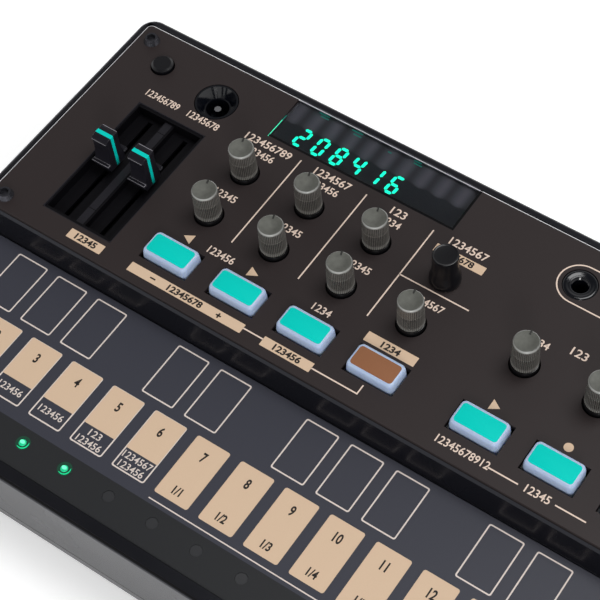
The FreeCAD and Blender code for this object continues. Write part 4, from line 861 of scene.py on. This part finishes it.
def dust_lips():
    """Two soft lips in each slot, which leave room for the lever between them."""
    half = ((SLOT_HALF - LIP_HALF) / 2 + 0.02, SLOT_REACH)
    lips = [slab((middle(stem)[0] + side * (SLOT_HALF + LIP_HALF) / 2, WELL[1]), half, 0.02, WELL_FLOOR - 0.5,
                 WELL_FLOOR - 0.05) for stem in ("slider_stem_left", "slider_stem_right") for side in (-1, 1)]
    add_piece("well_dust_lips", lips, well_plastic)


# Small sockets

BUSHING_TOP = PANEL_TOP - 0.4
# radius and height over the bushing
LIP_RING = ((2.0, -0.02), (3.9, -0.02), (3.92, 0.1), (3.82, 0.3), (3.6, 0.42), (3.3, 0.46), (3.05, 0.43),
            (2.85, 0.36), (2.65, 0.3), (2.4, 0.27), (2.2, 0.25), (2.08, 0.18), (2.02, 0.05))


def jack_lips():
    """The rounded, funnelled lip of each small socket, on its bushing."""
    ring = [(radius, BUSHING_TOP + rise) for radius, rise in LIP_RING]
    lips = [skin(turned(ring, (x, JACK_LINE), 64), closed=True) for x in JACK_PLACES]
    add_piece("jack_lips", lips, socket_plastic)


# Display

SHEET_TOP = WINDOW_LOW[2] + 0.05
DIGIT_FOOT, DIGIT_HIGH, DIGIT_WIDE = 43.25, 5.55, 2.9
DIGIT_LEFT, DIGIT_PITCH = -46.1, 5.02
DIGIT_SLANT = 0.075
SEGMENT, SEGMENT_GAP = 0.76, 0.16
SHOWN = "208416"
# which of the strokes top, upper right, lower right, foot, lower left, upper left and middle are lit
LIT = {"0": "1111110", "1": "0110000", "2": "1101101", "4": "0110011", "6": "1011111", "8": "1111111"}
# start and end of each stroke: column 0 or 1, and row 0 (foot) to 2
STROKE_ENDS = (((0, 2), (1, 2)), ((1, 1), (1, 2)), ((1, 0), (1, 1)), ((0, 0), (1, 0)), ((0, 0), (0, 1)),
               ((0, 1), (0, 2)), ((0, 1), (1, 1)))
BAND_FRONT, BAND_PITCH, BAND_PHASE = 48.5, 4.95, -49.2
# the flutes' light and shade is painted on a flat sheet
BAND_CREST = 0.42      # share of a flute's pitch over which it darkens
WALL_RISE = 1.7
# centre and width of each painted reflection of a digit's stroke in the window's rear
DIGIT_REFLECTIONS = ((-43.4, 53.6, 2.2), (-43.9, 54.3, 2.8), (-34.2, 53.3, 2.2), (-34.7, 54.15, 3.0),
          (-25.3, 53.2, 1.0), (-18.0, 53.6, 2.2), (-18.4, 54.3, 2.0))
# painted light along the window's left edge, bright and then fading
EDGE_LIGHTS = (("display_edge_light", (-50.95, 41.7), (-50.85, 47.3), edge_glow),
               ("display_edge_fade", (-50.85, 47.3), (-50.8, 48.9), dim_painted_light))
BORDER = 0.56


def segment(start, end):
    """A lit stroke: a long hexagon between two points, a little short of both."""
    along = (end - start) / np.linalg.norm(end - start)
    aside = np.array([-along[1], along[0]]) * SEGMENT / 2
    tail, tip = start + along * SEGMENT_GAP, end - along * SEGMENT_GAP
    shoulder = along * SEGMENT * 0.42
    return np.array([tail, tail + shoulder - aside, tip - shoulder - aside, tip, tip - shoulder + aside,
                     tail + shoulder + aside])


def display_digits():
    """Plain numbers in seven strokes each, leaning a little to the right."""
    strokes = []
    y = (SEGMENT / 2, DIGIT_HIGH / 2, DIGIT_HIGH - SEGMENT / 2)
    for place, digit in enumerate(SHOWN):
        left = DIGIT_LEFT + DIGIT_PITCH * place
        x = (left + SEGMENT / 2, left + DIGIT_WIDE - SEGMENT / 2)
        for lit, ends in zip(LIT[digit], STROKE_ENDS):
            if lit == "1":
                outline = segment(*(np.array((x[column], y[row])) for column, row in ends))
                outline[:, 0] += outline[:, 1] * DIGIT_SLANT
                outline[:, 1] += DIGIT_FOOT
                strokes.append(plate(outline, SHEET_TOP + 0.01, SHEET_TOP + 0.05))
    add_piece("lit_digits", strokes, digit_glow)


def display_depths():
    """What shows behind the window: a dark sheet with a rear band of flutes in painted light and shade, painted
    reflections of the digits, and painted light where the window's left edge picks it up. Each flute pales
    slowly towards the right and darkens again in the first part of the next pitch; its foot follows the same
    curve."""
    left, right = WINDOW_LOW[0] + 0.04, WINDOW_HIGH[0] - 0.04
    front, back = WINDOW_LOW[1] + 0.04, WINDOW_HIGH[1] - 0.04
    x = np.linspace(left, right, 385)
    share = np.mod((x - BAND_PHASE) / BAND_PITCH, 1.0)
    pale = np.where(share < BAND_CREST, 1 - share / BAND_CREST, (share - BAND_CREST) / (1 - BAND_CREST))
    pale = pale * pale * (3 - 2 * pale)
    foot = BAND_FRONT - 0.45 * pale
    level = SHEET_TOP - 0.02
    # y, height and share of the flutes' colour, once round the sheet's section
    rows = ((back - 0.03, level + WALL_RISE, 0.9), (back - 0.03, SHEET_TOP, 0.9), (back - 0.5, SHEET_TOP, 1.0),
            (foot + 1.4, SHEET_TOP, 1.0), (foot + 0.5, SHEET_TOP, 0.75), (foot, SHEET_TOP, 0.0),
            (front, SHEET_TOP, 0.0), (front, level, 0.0), (back, level, 0.7), (back, level + WALL_RISE, 0.9))
    rings = np.stack([np.stack(np.broadcast_arrays(x, y, z), axis=-1) for y, z, _ in rows], axis=1)
    sheet = add_piece("display_sheet", [skin(rings)], module_light)
    depth = np.array([row[2] for row in rows])
    add_shade(sheet, pale[:, None], depth, depth)
    reflection_slabs = [slab((middle_x, y), (width / 2, 0.17), 0.12, SHEET_TOP + 0.01, SHEET_TOP + 0.04)
              for middle_x, y, width in DIGIT_REFLECTIONS]
    add_piece("display_digit_reflections", reflection_slabs, dim_painted_light)
    for name, start, end, finish in EDGE_LIGHTS:
        add_piece(name, [stroke([start, end], 0.15, PANEL_TOP - 0.1, PANEL_TOP + 0.006)], finish)


def window_border():
    """A black line along the window's front and right side, where it meets the plate."""
    front, back = WINDOW_LOW[1], WINDOW_HIGH[1]
    path = [(WINDOW_LOW[0] - 0.1, front + 0.05), (WINDOW_HIGH[0], front + 0.05), (WINDOW_HIGH[0], back)]
    add_piece("window_border", [stroke(path, BORDER, PANEL_TOP - 0.3, PANEL_TOP + 0.006)], gloss_black)


# Lamps

LIT_LAMPS = (4, 5)
LAMP_SHIFT = (-0.42, 0.05)     # from the lens's place to that of the light in it
DOME_RADIUS, DOME_RISE, DOME_SHIFT = 0.84, 0.4, -0.1
CORE_RADIUS, CORE_SHIFT, CORE_STRETCH = 0.42, (-0.12, 0.1), 0.35
LAMP_RING, LAMP_SPILL = 1.35, 1.62
CRESCENT = math.radians(-125), math.radians(35)


def lamps():
    """Two lit lenses: a glowing dome with a white core, to its right the crescent of light in its rim,
    and round both a faint spill of light."""
    domes, cores, crescents, spills = [], [], [], []
    angle = np.linspace(*CRESCENT, 20)
    way = np.column_stack([np.cos(angle), np.sin(angle)])
    thick = 0.26 * np.sin(np.linspace(0, math.pi, len(angle)))[:, None] ** 0.5 + 0.02
    dome = [(DOME_RADIUS * math.cos(turn), KEY_TOP - 0.05 + DOME_RISE * math.sin(turn))
            for turn in np.linspace(0, math.pi / 2, 8)]
    for key in LIT_LAMPS:
        x, y = KEY_LEFT + (key - 0.5) * KEY_PITCH + LAMP_SHIFT[0], LAMP_LINE + LAMP_SHIFT[1]
        domes.append(skin(turned(dome, (x + DOME_SHIFT, y), 32)))
        core_x, core_y = x + CORE_SHIFT[0], y + CORE_SHIFT[1]
        core = turned([(CORE_RADIUS, KEY_TOP + 0.3), (CORE_RADIUS, KEY_TOP + 0.37)], (core_x, core_y), 24)
        core[..., 0] += (core[..., 0] - core_x) * CORE_STRETCH
        cores.append(skin(core))
        outer, inner = (x, y) + LAMP_RING * way, (x, y) + (LAMP_RING - thick) * way
        crescents.append(plate(np.vstack([outer, inner[::-1]]), KEY_TOP - 0.02, KEY_TOP + 0.03))
        spills.append(skin(turned([(LAMP_SPILL, KEY_TOP - 0.02), (LAMP_SPILL, KEY_TOP + 0.012)], (x, y), 40)))
    add_piece("lit_domes", domes, lamp_glow)
    add_piece("lit_cores", cores, lamp_core)
    add_piece("lit_rims", crescents, lamp_rim_glow)
    add_piece("lit_spills", spills, lamp_spill)


panel_print()
keyboard_print()
for node_name in CLEAR_KNOBS:
    clear_knob(node_name)
    notch(node_name)
program_knob()
for node_name in BUTTONS:
    milk_button(node_name)
fader_cap("slider_cap_left", "slider_left")
fader_cap("slider_cap_right", "slider_right")
for build in (display_digits, display_depths, window_border, bare_edges, deck_seam, front_lip, lamps,
              well_details, dust_lips, jack_lips):
    build()


# Camera, floor and light. The camera is the photograph's: a cut from a larger picture, so its centre is
# shifted.

CAMERA_PLACE = (104.7, -134.2, 315.9)
CAMERA_AZIMUTH, CAMERA_HEIGHT, CAMERA_ROLL = 35.81, 59.51, -2.79
IMAGE_SIZE = 600
FOCAL_PIXELS = 1602.3
PICTURE_CENTRE = (382.1, 377.9)    # pixel where the camera's axis meets the photograph
SENSOR = 36
FLOOR_REACH, FLOOR_DROP = 6.0, 0.0001     # metres
FLOOR_LIFT = 0.36
LIGHT_AIM = (0, 0, 0.02)


def add_camera():
    """The camera, at its place in the photograph."""
    camera = put("camera", bpy.data.cameras.new("camera"))
    camera.data.sensor_width = SENSOR
    camera.data.lens = FOCAL_PIXELS / IMAGE_SIZE * SENSOR
    camera.data.shift_x = (IMAGE_SIZE / 2 - PICTURE_CENTRE[0]) / IMAGE_SIZE
    camera.data.shift_y = (PICTURE_CENTRE[1] - IMAGE_SIZE / 2) / IMAGE_SIZE
    camera.data.clip_start = 0.01
    turn = Matrix.Identity(4)
    for degrees, axis in ((CAMERA_AZIMUTH, "Z"), (90 - CAMERA_HEIGHT, "X"), (CAMERA_ROLL, "Z")):
        turn = turn @ Matrix.Rotation(math.radians(degrees), 4, axis)
    camera.matrix_world = Matrix.Translation(Vector(CAMERA_PLACE) * MM) @ turn
    bpy.context.scene.camera = camera


def add_floor():
    """A pale table top, white to the camera, in reflections and through clear parts."""
    mesh = bpy.data.meshes.new("floor")
    corners = [(FLOOR_REACH * x, FLOOR_REACH * y, 0) for x, y in ((-1, -1), (1, -1), (1, 1), (-1, 1))]
    mesh.from_pydata(corners, [], [(0, 1, 2, 3)])
    floor = put("floor", mesh)
    floor.location.z = -FLOOR_DROP
    paper = new_finish("floor_paper", (0.93, 0.93, 0.93, 1), 0.9, Specular_IOR_Level=0.0,
                       Emission_Color=(1, 1, 1, 1))
    tree = paper.node_tree
    ray = tree.nodes.new("ShaderNodeLightPath").outputs
    seen = maths(tree, "MAXIMUM", ray["Is Camera Ray"], ray["Is Glossy Ray"])
    seen = maths(tree, "MAXIMUM", seen, ray["Is Transmission Ray"])
    feed(tree, principled(paper).inputs["Emission Strength"], maths(tree, "MULTIPLY", seen, FLOOR_LIFT))
    mesh.materials.append(paper)


def add_light(name, place, width, power):
    """A square soft box at a place in metres, aimed at the object."""
    lamp = bpy.data.lights.new(name, "AREA")
    lamp.size = width
    lamp.energy = power
    box = put(name, lamp)
    box.location = place
    box.rotation_mode = "QUATERNION"
    box.rotation_quaternion = (Vector(LIGHT_AIM) - Vector(place)).to_track_quat("-Z", "Y")


def add_world():
    """Studio air: pale walls round the horizon and a dim ceiling."""
    world = bpy.data.worlds.new("studio")
    bpy.context.scene.world = world
    world.use_nodes = True
    tree = world.node_tree
    air = tree.nodes["Background"].inputs
    air["Color"].default_value = (1, 1, 1, 1)
    way = tree.nodes.new("ShaderNodeTexCoord").outputs["Generated"]
    height = add_node(tree, "ShaderNodeSeparateXYZ", Vector=way).outputs["Z"]
    strength = add_node(tree, "ShaderNodeMapRange", Value=height, From_Min=0.25, From_Max=0.8, To_Min=0.95,
                        To_Max=0.12)
    feed(tree, air["Strength"], strength.outputs["Result"])


add_camera()
add_floor()
add_world()
add_light("top_box", (0.2, 0.25, 0.9), 0.5, 4.6)
add_light("key_box", (0.5, -0.64, 0.5), 0.22, 2.4)
bpy.context.scene.view_settings.view_transform = "Standard"
